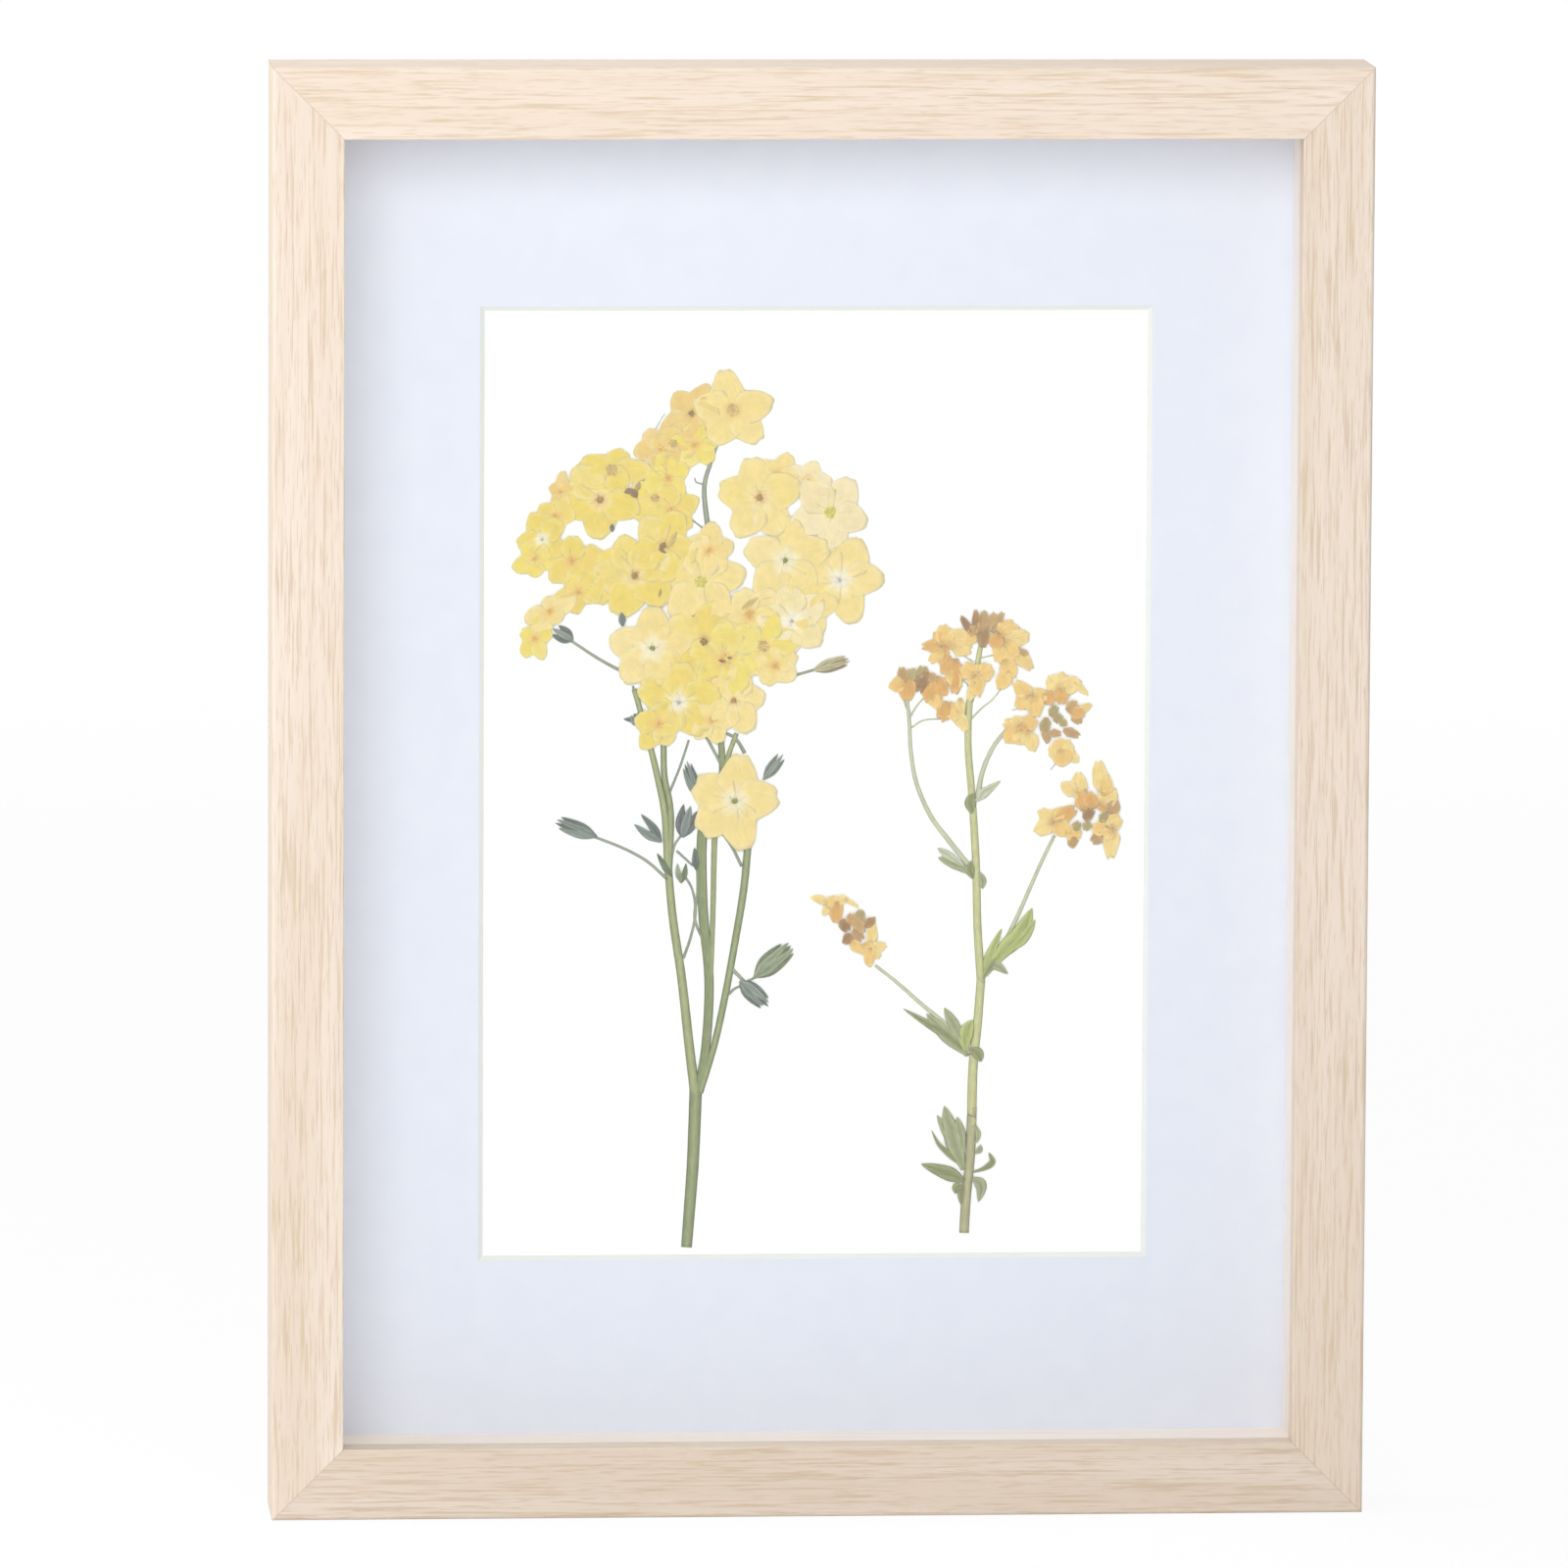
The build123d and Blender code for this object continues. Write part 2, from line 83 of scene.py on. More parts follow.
def linear(rgb):
    """A colour given as 0 to 255 display values, as the linear numbers that shaders use."""
    scaled = [c / 255 for c in rgb]
    return tuple(c / 12.92 if c <= 0.04045 else ((c + 0.055) / 1.055) ** 2.4 for c in scaled)


def blend(a, b, share):
    """A colour or point part of the way from a to b."""
    return tuple(x + (y - x) * share for x, y in zip(a, b))


def ease(value):
    """A smooth step from 0 to 1."""
    value = min(max(value, 0.0), 1.0)
    return value * value * (3 - 2 * value)


def on_card(x, z, lift=0.0):
    """A place on the mounting card, lift millimetres in front of it."""
    x = MIDDLE_X + (x - PLANTS_LEFT) * MM
    z = MIDDLE_Z + (z + PLANTS_UP) * MM
    return Vector((x, CARD_FRONT - lift * MM, z))


def smooth_run(points, steps):
    """Points along a smooth curve through the given ones."""
    padded = [points[0]] + list(points) + [points[-1]]
    run = []
    for i in range(1, len(padded) - 2):
        p0, p1, p2, p3 = (Vector(p) for p in padded[i - 1:i + 3])
        for k in range(steps):
            t = k / steps
            run.append(0.5 * (2 * p1 + (p2 - p0) * t + (2 * p0 - 5 * p1 + 4 * p2 - p3) * t ** 2
                              + (3 * p1 - p0 - 3 * p2 + p3) * t ** 3))
    run.append(Vector(points[-1]))
    return run


class Patchwork:
    """Collects grids of points, each point with a colour and a place in its own pattern."""

    def __init__(self):
        self.points = []
        self.faces = []
        self.tints = []
        self.grains = []

    def grid(self, rows, closed=False, capped=False):
        """Rows of (point, tint, grain), joined by quads."""
        start = len(self.points)
        across = len(rows[0])
        for row in rows:
            for point, tint, grain in row:
                self.points.append(point)
                self.tints.append(tint)
                self.grains.append(grain)
        spans = across if closed else across - 1
        for i in range(len(rows) - 1):
            for j in range(spans):
                a = start + i * across + j
                b = start + i * across + (j + 1) % across
                self.faces.append((a, b, b + across, a + across))
        if capped:
            last = start + (len(rows) - 1) * across
            self.faces.append(tuple(start + j for j in reversed(range(across))))
            self.faces.append(tuple(last + j for j in range(across)))

    def piece(self, name, material, slot, *replaced):
        """One object on the frame body, which stands for the replaced nodes."""
        mesh = bpy.data.meshes.new(name)
        mesh.from_pydata(self.points, [], self.faces)
        tint = mesh.attributes.new("tint", "FLOAT_COLOR", "POINT")
        tint.data.foreach_set("color", [c for t in self.tints for c in (*linear(t), 1.0)])
        grain = mesh.attributes.new("grain", "FLOAT_VECTOR", "POINT")
        grain.data.foreach_set("vector", [c for g in self.grains for c in g])
        mesh.polygons.foreach_set("use_smooth", [True] * len(mesh.polygons))
        mesh.materials.append(material)
        made = bpy.data.objects.new(name, mesh)
        bpy.context.scene.collection.objects.link(made)
        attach(made, "frame")
        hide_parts(*replaced)
        return made


# Shader helpers ----------------------------------------------------------------------------

class Nodes:
    """A node tree, with short ways to add and join nodes."""

    def __init__(self, tree):
        self.tree = tree

    def node(self, kind, inputs=None, **settings):
        """A new node. inputs gives sockets a value or another node's output."""
        made = self.tree.nodes.new("ShaderNode" + kind)
        for key, value in settings.items():
            setattr(made, key, value)
        self.feed(made, inputs or {})
        return made

    def feed(self, node, inputs):
        """Set or link a node's inputs. A colour is three numbers."""
        for key, value in inputs.items():
            socket = node.inputs[key]
            if isinstance(value, bpy.types.NodeSocket):
                self.tree.links.new(value, socket)
            elif isinstance(value, tuple) and len(value) == 3 and socket.type == "RGBA":
                socket.default_value = (*value, 1.0)
            else:
                socket.default_value = value

    def math(self, operation, a, b=0.0):
        return self.node("Math", {0: a, 1: b}, operation=operation).outputs[0]

    def line(self, value, slope, start):
        """The value times slope, plus start."""
        made = self.node("Math", {0: value, 1: slope, 2: start}, operation="MULTIPLY_ADD")
        return made.outputs[0]

    def seen_directly(self):
        """1 for what the camera, a mirror or clear glass sees, 0 for the light on the object."""
        path = self.node("LightPath").outputs
        seen = self.math("MAXIMUM", path["Is Camera Ray"], path["Is Glossy Ray"])
        return self.math("MAXIMUM", seen, path["Is Transmission Ray"])


class Shader(Nodes):
    """A material and the patterns it is made of."""

    def __init__(self, name):
        self.material = bpy.data.materials.new(name)
        self.material.use_nodes = True
        super().__init__(self.material.node_tree)
        self.surface = self.tree.nodes["Principled BSDF"]
        self.output = self.tree.nodes["Material Output"]

    def place(self):
        return self.node("TexCoord").outputs["Object"]

    def scaled(self, vector, scale, offset=(0.0, 0.0, 0.0)):
        made = self.node("Mapping", {"Vector": vector, "Scale": scale, "Location": offset})
        return made.outputs[0]

    def noise(self, vector, scale, detail=2.0, roughness=0.5, distortion=0.0):
        made = self.node("TexNoise", {"Vector": vector, "Scale": scale, "Detail": detail,
                                      "Roughness": roughness, "Distortion": distortion})
        return made.outputs[0]

    def between(self, value, zero_at, one_at):
        """0 up to one value and 1 from the other, smooth in between. Either may be the larger."""
        made = self.node("MapRange", {"Value": value, "From Min": zero_at, "From Max": one_at},
                         interpolation_type="SMOOTHSTEP")
        return made.outputs[0]

    def mix(self, share, a, b, mode="MIX"):
        made = self.node("Mix", data_type="RGBA", blend_type=mode)
        self.feed(made, {0: share, 6: a, 7: b})
        return made.outputs[2]

    def mottled(self, noise, tones):
        """A soft patchwork of two tones."""
        return self.mix(self.between(noise, 0.3, 0.7), linear(tones[0]), linear(tones[1]))

    def bump(self, height, distance, strength):
        made = self.node("Bump", {"Height": height, "Distance": distance, "Strength": strength})
        return made.outputs[0]

    def finish(self, **inputs):
        """Set the surface's sockets. An underscore stands for a space."""
        self.feed(self.surface, {key.replace("_", " "): value for key, value in inputs.items()})
        return self.material


# Wood --------------------------------------------------------------------------------------

RAIL_WOOD = dict(light=(231, 216, 201), dark=(225, 208, 190), streak=(203, 180, 150))
# painted light: the spacers are the rails' wood, made much paler so that the shaded inner walls of
# the box look brightly lit
PAINTED_LIGHT_SPACER_WOOD = dict(light=(252, 243, 234), dark=(248, 237, 226), streak=(239, 224, 206))
SPACER_SEED = 10             # keeps a spacer's grain apart from its rail's

# For each side, the axis of its grain (0 for X, 2 for Z), its length and its brightness.
# The brightness is painted shade: the bottom rail darkest and the side rails a little darker than
# the top, as the light falls from above and the left
SIDES = {
    "top": (0, FRAME_WIDTH, 1.0),
    "bottom": (0, FRAME_WIDTH, 0.90),
    "left": (2, FRAME_HEIGHT, 0.98),
    "right": (2, FRAME_HEIGHT, 0.96),
}

MITRE_TONE = (172, 150, 126)
MITRE_FADE = (0.00030, 0.00008)     # metres from the joint where its line starts and is full
MITRE_STRENGTH = 0.4


def wood(name, along, seed, tones, shade, mitred_length=None):
    """Straight-grained wood. along is the axis of the grain, 0 for X or 2 for Z. shade darkens all
    of it as painted shade.
    """
    s = Shader(name)
    place = s.place()

    def stretched(share):
        """The place, squeezed to a share along the grain, so that a pattern on it is drawn out."""
        scale = [1.0, 1.0, 1.0]
        scale[along] = share
        return s.scaled(place, tuple(scale), (seed * 0.37, seed * 0.61, seed * 0.83))

    figure = s.noise(stretched(0.05), scale=55.0, detail=3.0, roughness=0.55, distortion=0.4)
    bands = s.noise(stretched(0.02), scale=420.0)
    long_noise = s.noise(stretched(0.030), scale=1150.0, detail=3.0, roughness=0.6, distortion=0.1)
    streaks = s.between(long_noise, 0.50, 0.66)
    fibres = s.noise(stretched(0.015), scale=3000.0, roughness=0.6)
    pores = s.between(s.noise(stretched(0.045), scale=2600.0, detail=1.0), 0.60, 0.70)

    light, dark, streak = (linear(tones[key]) for key in ("light", "dark", "streak"))
    tone = s.mix(s.between(figure, 0.35, 0.65), light, dark)
    tone = s.mix(s.math("MULTIPLY", s.between(bands, 0.45, 0.7), 0.35), tone, dark)
    tone = s.mix(s.math("MULTIPLY", streaks, 0.60), tone, streak)
    tone = s.mix(s.math("MULTIPLY", pores, 0.45), tone, streak)
    # painted shade: shade darkens the whole piece, and the fine fibres add a little grain on top
    tone = s.mix(1.0, tone, s.line(fibres, 0.10, shade - 0.05), "MULTIPLY")
    if mitred_length:
        tone = s.mix(mitre_line(s, place, along, mitred_length), tone, linear(MITRE_TONE))

    height = s.math("SUBTRACT", fibres, s.math("MULTIPLY", pores, 0.8))
    return s.finish(Base_Color=tone, Roughness=s.line(streaks, 0.12, 0.5),
                    Specular_IOR_Level=0.3, Normal=s.bump(height, 0.00008, 0.6))


def mitre_line(s, place, along, length):
    """The thin glue line where two rails meet at 45 degrees."""
    axes = s.node("SeparateXYZ", {0: place}).outputs
    from_middle_x = s.math("ABSOLUTE", axes[0])
    from_middle_z = s.math("ABSOLUTE", s.math("SUBTRACT", axes[2], MIDDLE_Z))
    if along == 0:
        run, rise, edge = from_middle_x, from_middle_z, FRAME_HEIGHT / 2
    else:
        run, rise, edge = from_middle_z, from_middle_x, FRAME_WIDTH / 2
    from_corner = s.math("SUBTRACT", length / 2, run)
    from_edge = s.math("SUBTRACT", edge, rise)
    gap = s.math("ABSOLUTE", s.math("SUBTRACT", from_corner, from_edge))
    return s.math("MULTIPLY", s.between(gap, *MITRE_FADE), MITRE_STRENGTH)


def dress(node, material):
    """Give a CAD node its finish."""
    for slot in nodes[node].material_slots:
        slot.material = material


def dress_wood():
    """Rails and spacers, each with a stretch of grain of its own. Each rail carries the painted
    shade of its side, and the spacers are painted paler as painted light.
    """
    for seed, (side, (along, length, shade)) in enumerate(SIDES.items(), start=1):
        rail = wood("rail_wood_" + side, along, seed, RAIL_WOOD, shade, length)
        # painted light: the spacers take the paler copy of the rails' wood
        spacer = wood("spacer_wood_" + side, along, seed + SPACER_SEED, PAINTED_LIGHT_SPACER_WOOD, 1.0)
        dress("rail_" + side, rail)
        dress("spacer_" + side, spacer)


# Mat, card, glazing and back ---------------------------------------------------------------

# Pairs of tones that each material drifts between
MAT_FACE = ((225, 228, 239), (223, 226, 238))
MAT_CORE = ((234, 234, 232), (225, 226, 222))
CARD = ((254, 254, 254), (251, 251, 250))
FIBREBOARD = ((183, 147, 110), (176, 139, 102))
RUBBER = ((44, 44, 45), (58, 58, 59))

DARK_FLECK = (138, 101, 68)
PALE_FLECK = (200, 168, 130)
NAIL_STEEL = (150, 150, 153)
ZINC = (196, 196, 192)
BRIGHTEST = (255, 255, 255)

BEVEL_EDGE = (-0.00012, 0.00004)    # metres past the bevel's rim where the face starts and is full
HEAD_ON_SHEEN = 0.01                # what each face of the glazing reflects when seen square on


def mat_board():
    """White board whose paler core shows on the bevel."""
    s = Shader("mat_board")
    place = s.place()
    axes = s.node("SeparateXYZ", {0: place}).outputs
    half_width = WINDOW[0] * MM / 2 + MAT_THICKNESS
    half_height = WINDOW[1] * MM / 2 + MAT_THICKNESS
    across = s.math("SUBTRACT", s.math("ABSOLUTE", axes[0]), half_width)
    from_middle = s.math("ABSOLUTE", s.math("SUBTRACT", axes[2], MIDDLE_Z))
    outside = s.math("MAXIMUM", across, s.math("SUBTRACT", from_middle, half_height))
    fibre = s.noise(place, scale=2600.0, detail=4.0, roughness=0.6)
    clouds = s.noise(place, scale=160.0, detail=3.0)
    face = s.mottled(clouds, MAT_FACE)
    core = s.mottled(fibre, MAT_CORE)
    tone = s.mix(s.between(outside, *BEVEL_EDGE), core, face)
    return s.finish(Base_Color=tone, Roughness=0.85, Specular_IOR_Level=0.15,
                    Normal=s.bump(fibre, 0.00004, 0.5))


def paper_card():
    """Smooth white card with a fine tooth."""
    s = Shader("mount_card")
    fibre = s.noise(s.place(), scale=1800.0, detail=4.0, roughness=0.6)
    return s.finish(Base_Color=s.mottled(fibre, CARD), Roughness=0.9, Specular_IOR_Level=0.1,
                    Normal=s.bump(fibre, 0.00003, 0.4))


def clear_glazing():
    """Low-reflection glass: mostly clear, with a faint sheen that grows at a slant.

    A Fresnel node would turn the sheet's inner face into a mirror at a slant, so both faces follow
    Schlick's curve, which is the same from either side.
    """
    s = Shader("glazing")
    s.tree.nodes.remove(s.surface)
    clear = s.node("BsdfTransparent", {"Color": (0.992, 0.996, 0.994)})
    sheen = s.node("BsdfGlossy", {"Color": WHITE, "Roughness": 0.02})
    slant = s.node("LayerWeight", {"Blend": 0.5}).outputs["Facing"]
    share = s.line(s.math("POWER", slant, 5.0), 1.0 - HEAD_ON_SHEEN, HEAD_ON_SHEEN)
    both = s.node("MixShader", {0: share, 1: clear.outputs[0], 2: sheen.outputs[0]})
    s.feed(s.output, {"Surface": both.outputs[0]})
    return s.material


def fibreboard():
    """Brown board with faint clouds and with dark and pale flecks."""
    s = Shader("fibreboard")
    place = s.place()
    flecks = s.noise(place, scale=1500.0, detail=4.0, roughness=0.65)
    clouds = s.noise(place, scale=90.0, detail=5.0, roughness=0.7)
    dark = s.math("MULTIPLY", s.between(flecks, 0.5, 0.7), 0.5)
    pale = s.math("MULTIPLY", s.between(flecks, 0.5, 0.3), 0.35)
    tone = s.mix(dark, s.mottled(clouds, FIBREBOARD), linear(DARK_FLECK))
    tone = s.mix(pale, tone, linear(PALE_FLECK))
    return s.finish(Base_Color=tone, Roughness=0.62, Specular_IOR_Level=0.25,
                    Normal=s.bump(flecks, 0.00005, 0.6))


def plated_steel(name, tone, rough):
    """Metal with fine rolling lines and small bright and dull patches."""
    s = Shader(name)
    place = s.place()
    patches = s.noise(place, scale=260.0, detail=4.0, roughness=0.6)
    lines = s.noise(s.scaled(place, (1.0, 1.0, 0.08)), scale=5200.0)
    colour = s.mottled(patches, (tone, blend(tone, BRIGHTEST, 0.2)))
    return s.finish(Base_Color=colour, Metallic=1.0, Roughness=s.line(patches, 0.22, rough - 0.11),
                    Normal=s.bump(lines, 0.00002, 0.4))


def black_rubber():
    """Dull rubber with a fine grain."""
    s = Shader("bumper_rubber")
    grain = s.noise(s.place(), scale=2200.0, detail=3.0, roughness=0.6)
    return s.finish(Base_Color=s.mottled(grain, RUBBER), Roughness=0.75, Specular_IOR_Level=0.3,
                    Normal=s.bump(grain, 0.00005, 0.7))


def dress_frame():
    """Every CAD node that stays in sight."""
    dress_wood()
    dress("mat_board", mat_board())
    dress("mount_card", paper_card())
    dress("glazing", clear_glazing())
    dress("backing_board", fibreboard())
    dress("corner_v_nails", plated_steel("nail_steel", NAIL_STEEL, 0.45))
    zinc = plated_steel("zinc_plate", ZINC, 0.34)
    for name in nodes:
        if name.startswith(("turn_button", "d_ring", "hanger")) or name == "button_screws":
            dress(name, zinc)
    dress("wall_bumpers", black_rubber())


# Pressed plants: tones and layout ----------------------------------------------------------

GOLD = (238, 214, 118)
LEMON = (240, 220, 120)
CREAM = (244, 221, 152)
PALE = (245, 229, 188)
AMBER = (236, 204, 132)
EDGE = (248, 238, 204)
MILK = (250, 244, 226)

# A bloom's heart: the tone and reach of its star, then the tones of its ring and eye, then the
# eye's radius, all as shares of the bloom's radius. A plain heart belongs to a half-hidden bloom.
HEARTS = {
    "tan": ((240, 208, 140), 0.36, (228, 190, 122), (234, 200, 136), 0.15),
    "brown": ((247, 232, 190), 0.38, (226, 186, 120), (186, 148, 98), 0.085),
    "green": (MILK, 0.42, (234, 226, 184), (160, 154, 92), 0.065),
    "yellow": ((246, 234, 190), 0.24, (236, 220, 130), (232, 216, 118), 0.14),
    "white": (MILK, 0.44, (240, 232, 216), (212, 206, 194), 0.05),
    "dark": ((240, 222, 150), 0.24, (208, 170, 110), (166, 134, 94), 0.095),
    "plain": ((240, 204, 132), 0.50, (228, 186, 116), (200, 160, 96), 0.0),
}

# Left sprig blooms, back to front: x, z, radius, turn of the first lobe in degrees, tone, heart,
# the share of its radius that a squashed bloom keeps, and the way in which it isn't squashed
LEFT_BLOOMS = (
    (-37.0, 111.5, 9.5, 60, AMBER, "dark", 0.85, 40),
    (-46.0, 101.0, 8.5, 120, AMBER, "plain", 0.8, 20),
    (-42.5, 102.5, 8.5, 40, AMBER, "tan", 0.8, 60),
    (-36.0, 102.0, 8.0, 20, LEMON, "plain", 0.9, 0),
    (-2.0, 91.0, 7.5, 75, PALE, "plain", 0.8, 0),
    (-11.0, 93.0, 7.5, 60, CREAM, "plain", 0.8, 30),
    (-24.5, 112.5, 12.0, 95, CREAM, "tan", 1.0, 0),
    (-76.5, 88.0, 6.0, 90, AMBER, "plain", 0.6, 80),
    (-61.0, 94.5, 11.5, 0, GOLD, "tan", 0.5, 0),
    (-44.0, 92.0, 8.0, 100, LEMON, "plain", 0.85, 90),
    (-64.5, 85.5, 12.5, 52, GOLD, "brown", 0.95, 0),
    (-43.0, 82.0, 9.0, 30, GOLD, "plain", 0.85, 60),
    (-48.0, 86.0, 8.5, 80, LEMON, "tan", 0.9, 90),
    (5.0, 81.5, 12.0, 60, PALE, "yellow", 1.0, 0),
    (-16.3, 86.0, 12.8, 95, CREAM, "brown", 1.0, 0),
    (-78.0, 80.5, 7.0, 70, GOLD, "plain", 0.8, 50),
    (-84.0, 67.5, 7.0, 200, LEMON, "plain", 0.8, 0),
    (-73.0, 67.0, 9.0, 150, GOLD, "plain", 0.85, 0),
    (-82.0, 73.5, 8.5, 110, GOLD, "white", 0.85, 80),
    (-64.5, 63.0, 10.5, 190, GOLD, "plain", 0.9, 0),
    (-71.0, 57.5, 8.5, 200, GOLD, "plain", 0.7, 30),
    (8.0, 61.0, 13.2, 69, CREAM, "white", 1.0, 0),
    (-8.5, 67.0, 13.2, 85, CREAM, "green", 1.0, 0),
    (-1.0, 52.0, 9.0, 300, CREAM, "plain", 0.9, 0),
    (-54.0, 62.5, 12.8, 100, GOLD, "brown", 1.0, 0),
    (-31.5, 70.0, 8.5, 80, CREAM, "plain", 0.85, 60),
    (-45.5, 71.5, 11.5, 60, GOLD, "dark", 0.9, 60),
    (-34.0, 60.5, 12.8, 10, CREAM, "yellow", 1.0, 0),
    (-79.5, 51.5, 9.0, 35, CREAM, "plain", 0.42, 35),
    (-84.0, 43.5, 7.5, 80, LEMON, "plain", 0.62, 80),
    (-6.5, 48.5, 11.5, 250, PALE, "white", 0.95, 0),
    (-19.0, 50.5, 10.5, 40, CREAM, "plain", 0.8, 40),
    (-48.5, 40.5, 12.8, 160, CREAM, "green", 1.0, 0),
    (-33.0, 42.5, 12.5, 80, GOLD, "dark", 1.0, 0),
    (-29.5, 30.5, 9.5, 250, LEMON, "plain", 0.9, 0),
    (-15.0, 41.0, 11.0, 300, LEMON, "tan", 1.0, 0),
    (-11.5, 35.0, 8.0, 320, CREAM, "plain", 0.8, 0),
    (-26.5, 37.0, 11.0, 20, LEMON, "plain", 1.0, 0),
    (-24.0, 24.5, 10.5, 10, CREAM, "brown", 0.85, 100),
    (-46.5, 17.5, 8.5, 230, GOLD, "plain", 0.8, 60),
    (-30.5, 18.5, 7.5, 290, CREAM, "plain", 0.9, 60),
    (-40.5, 24.0, 12.5, 160, GOLD, "white", 1.0, 0),
    (-23.5, -6.0, 14.2, 75, CREAM, "green", 0.96, 90),
)

GREY_GREEN = (138, 146, 110)
PALE_GREEN = (153, 158, 117)
TWIG = (146, 152, 138)
SLATE = (112, 121, 124)
MOSS = (124, 133, 106)
RUSSET = (184, 160, 118)
SEPIA = (150, 120, 100)
OCHRE = (220, 188, 126)

# Scraps of bud and stamen in the gaps of the left flower head: foot, tip, width and tone
LEFT_SCRAPS = (
    ((-53.4, 86.2), (-55.2, 88.8), 2.4, SEPIA),
    ((-54.6, 88.6), (-57.2, 87.6), 1.8, SEPIA),
    ((-53.6, 88.0), (-52.6, 91.0), 1.6, RUSSET),
    ((-60.8, 75.8), (-60.9, 78.2), 1.5, SLATE),
    ((-57.6, 47.2), (-57.9, 51.4), 2.2, SLATE),
    ((-46.6, 56.0), (-46.0, 58.6), 0.9, RUSSET),
    ((-44.6, 69.4), (-46.8, 70.6), 1.0, SEPIA),
    ((-43.6, 71.0), (-41.4, 75.8), 1.6, OCHRE),
    ((-28.6, 36.8), (-26.4, 36.2), 0.9, SEPIA),
    ((-26.0, 37.6), (-24.4, 37.4), 0.8, SEPIA),
    ((-21.6, 52.4), (-16.6, 55.8), 1.6, OCHRE),
)

# Left sprig stems: width at the foot and at the tip, tone, and the run of points
LEFT_STEMS = (
    (3.2, 3.8, GREY_GREEN, ((-37.5, -142.3), (-36.6, -130), (-35.6, -115), (-34.8, -92))),
    (3.0, 1.6, PALE_GREEN, ((-35.0, -96), (-37, -80), (-39.3, -60), (-42, -42), (-43.6, -25),
                            (-44.6, -10), (-47, 2), (-50, 14), (-54, 28))),
    (2.0, 1.8, GREY_GREEN, ((-43.4, -30), (-42.8, -10), (-44.8, 2), (-45, 16))),
    (0.8, 0.7, TWIG, ((-43, -3), (-40, 4.5), (-37.4, 12.5))),
    (2.6, 3.2, GREY_GREEN, ((-34.2, -95), (-31.8, -80), (-31, -60), (-33, -38), (-33, -14),
                            (-28, -4))),
    (1.4, 2.0, PALE_GREEN, ((-30.5, -62), (-29.9, -40), (-29.3, -14), (-27, 0))),
    (2.0, 2.3, GREY_GREEN, ((-33.6, -95), (-29.2, -80), (-26, -65), (-23, -48), (-20.5, -32),
                            (-19, -14))),
    (2.2, 1.8, GREY_GREEN, ((-27, 0), (-27.4, 8), (-28, 18))),
    (1.6, 1.4, PALE_GREEN, ((-26.6, 4), (-25, 9), (-23, 14.5))),
    (0.9, 0.9, TWIG, ((-27.4, 4.5), (-30, 9.5), (-33.4, 15.5))),
    (0.8, 1.2, TWIG, ((-27.5, 15), (-23.4, 13), (-20.5, 8.5))),
    (1.0, 0.8, TWIG, ((-21.3, -26), (-24, -20.5), (-27.4, -15.5))),
    (0.9, 0.7, TWIG, ((-38.8, -54), (-36.6, -47.5), (-35.2, -40), (-36.2, -33), (-38.8, -28.5))),
    (0.9, 0.7, TWIG, ((-32.2, -49.5), (-35.4, -42), (-34.6, -34), (-34.8, -26))),
    (0.8, 0.7, TWIG, ((-41, -21.2), (-38.6, -23.4), (-36, -25.8))),
    (0.8, 0.7, TWIG, ((-42.6, -24), (-41.6, -19.5), (-39.6, -16.5))),
    (1.7, 1.0, TWIG, ((-31.3, 74), (-32.6, 82), (-33, 90), (-31, 97), (-29, 103))),
    (0.6, 0.5, TWIG, ((-31.5, 75), (-34, 77.2), (-37, 79.5))),
    (0.5, 0.4, TWIG, ((-33, 90), (-35.4, 90.6), (-36, 92))),
    (0.9, 0.8, TWIG, ((-44.2, -29.5), (-50, -24.3), (-57, -20.4), (-66, -16.8))),
    (1.0, 0.8, TWIG, ((-58, 33.5), (-65, 37.4), (-73.5, 43))),
    (0.8, 0.8, TWIG, ((-7, 31.6), (-2, 33), (1.5, 34))),
    (0.7, 0.5, TWIG, ((-54.4, 29), (-53.6, 25), (-52.4, 20.5))),
    (1.2, 0.9, TWIG, ((-24.8, -56.5), (-22.4, -59), (-19.6, -61.8))),
    (0.9, 0.7, TWIG, ((-25, -65), (-23, -63.2), (-20.6, -62.4))),
    (0.8, 0.7, TWIG, ((-19.4, -61), (-18, -60.4), (-16.6, -59.6))),
    (0.4, 0.3, (196, 198, 190), ((-52.5, 99), (-50, 103), (-46.6, 109), (-45, 111.5))),
)

# Left sprig buds: foot, tip, width, tone and the number of sepals
LEFT_BUDS = (
    ((-72.6, 43.0), (-78.6, 46.4), 4.8, SLATE, 3),
    ((0.2, 33.6), (11.2, 36.8), 4.0, RUSSET, 4),
    ((-52.0, 17.4), (-53.6, 21.2), 5.0, SLATE, 4),
    ((-51.5, 18.6), (-57.0, 18.9), 2.2, SLATE, 1),
    ((-34.6, -5.2), (-38.4, 6.0), 3.8, SLATE, 4),
    ((-14.8, 0.4), (-8.6, 8.4), 3.6, (142, 146, 144), 3),
    ((-65.2, -16.8), (-77.6, -12.0), 4.8, SLATE, 4),
    ((-45.6, -18.4), (-53.8, -10.6), 5.0, SLATE, 2),
    ((-39.4, -17.0), (-36.6, -7.0), 6.2, (112, 116, 124), 3),
    ((-39.6, -31.0), (-39.4, -24.0), 3.6, MOSS, 2),
    ((-42.6, -29.0), (-47.0, -21.8), 2.2, MOSS, 1),
    ((-35.0, -27.0), (-35.6, -19.8), 2.2, SLATE, 1),
    ((-17.2, -59.8), (-6.2, -50.2), 6.6, MOSS, 5),
    ((-21.6, -61.0), (-13.4, -68.4), 5.4, SLATE, 5),
)

SUN = (238, 202, 132)
STRAW = (240, 214, 148)
RUST = (222, 174, 112)
BARK = (190, 156, 116)
UMBER = (160, 128, 98)
SAGE = (172, 158, 116)

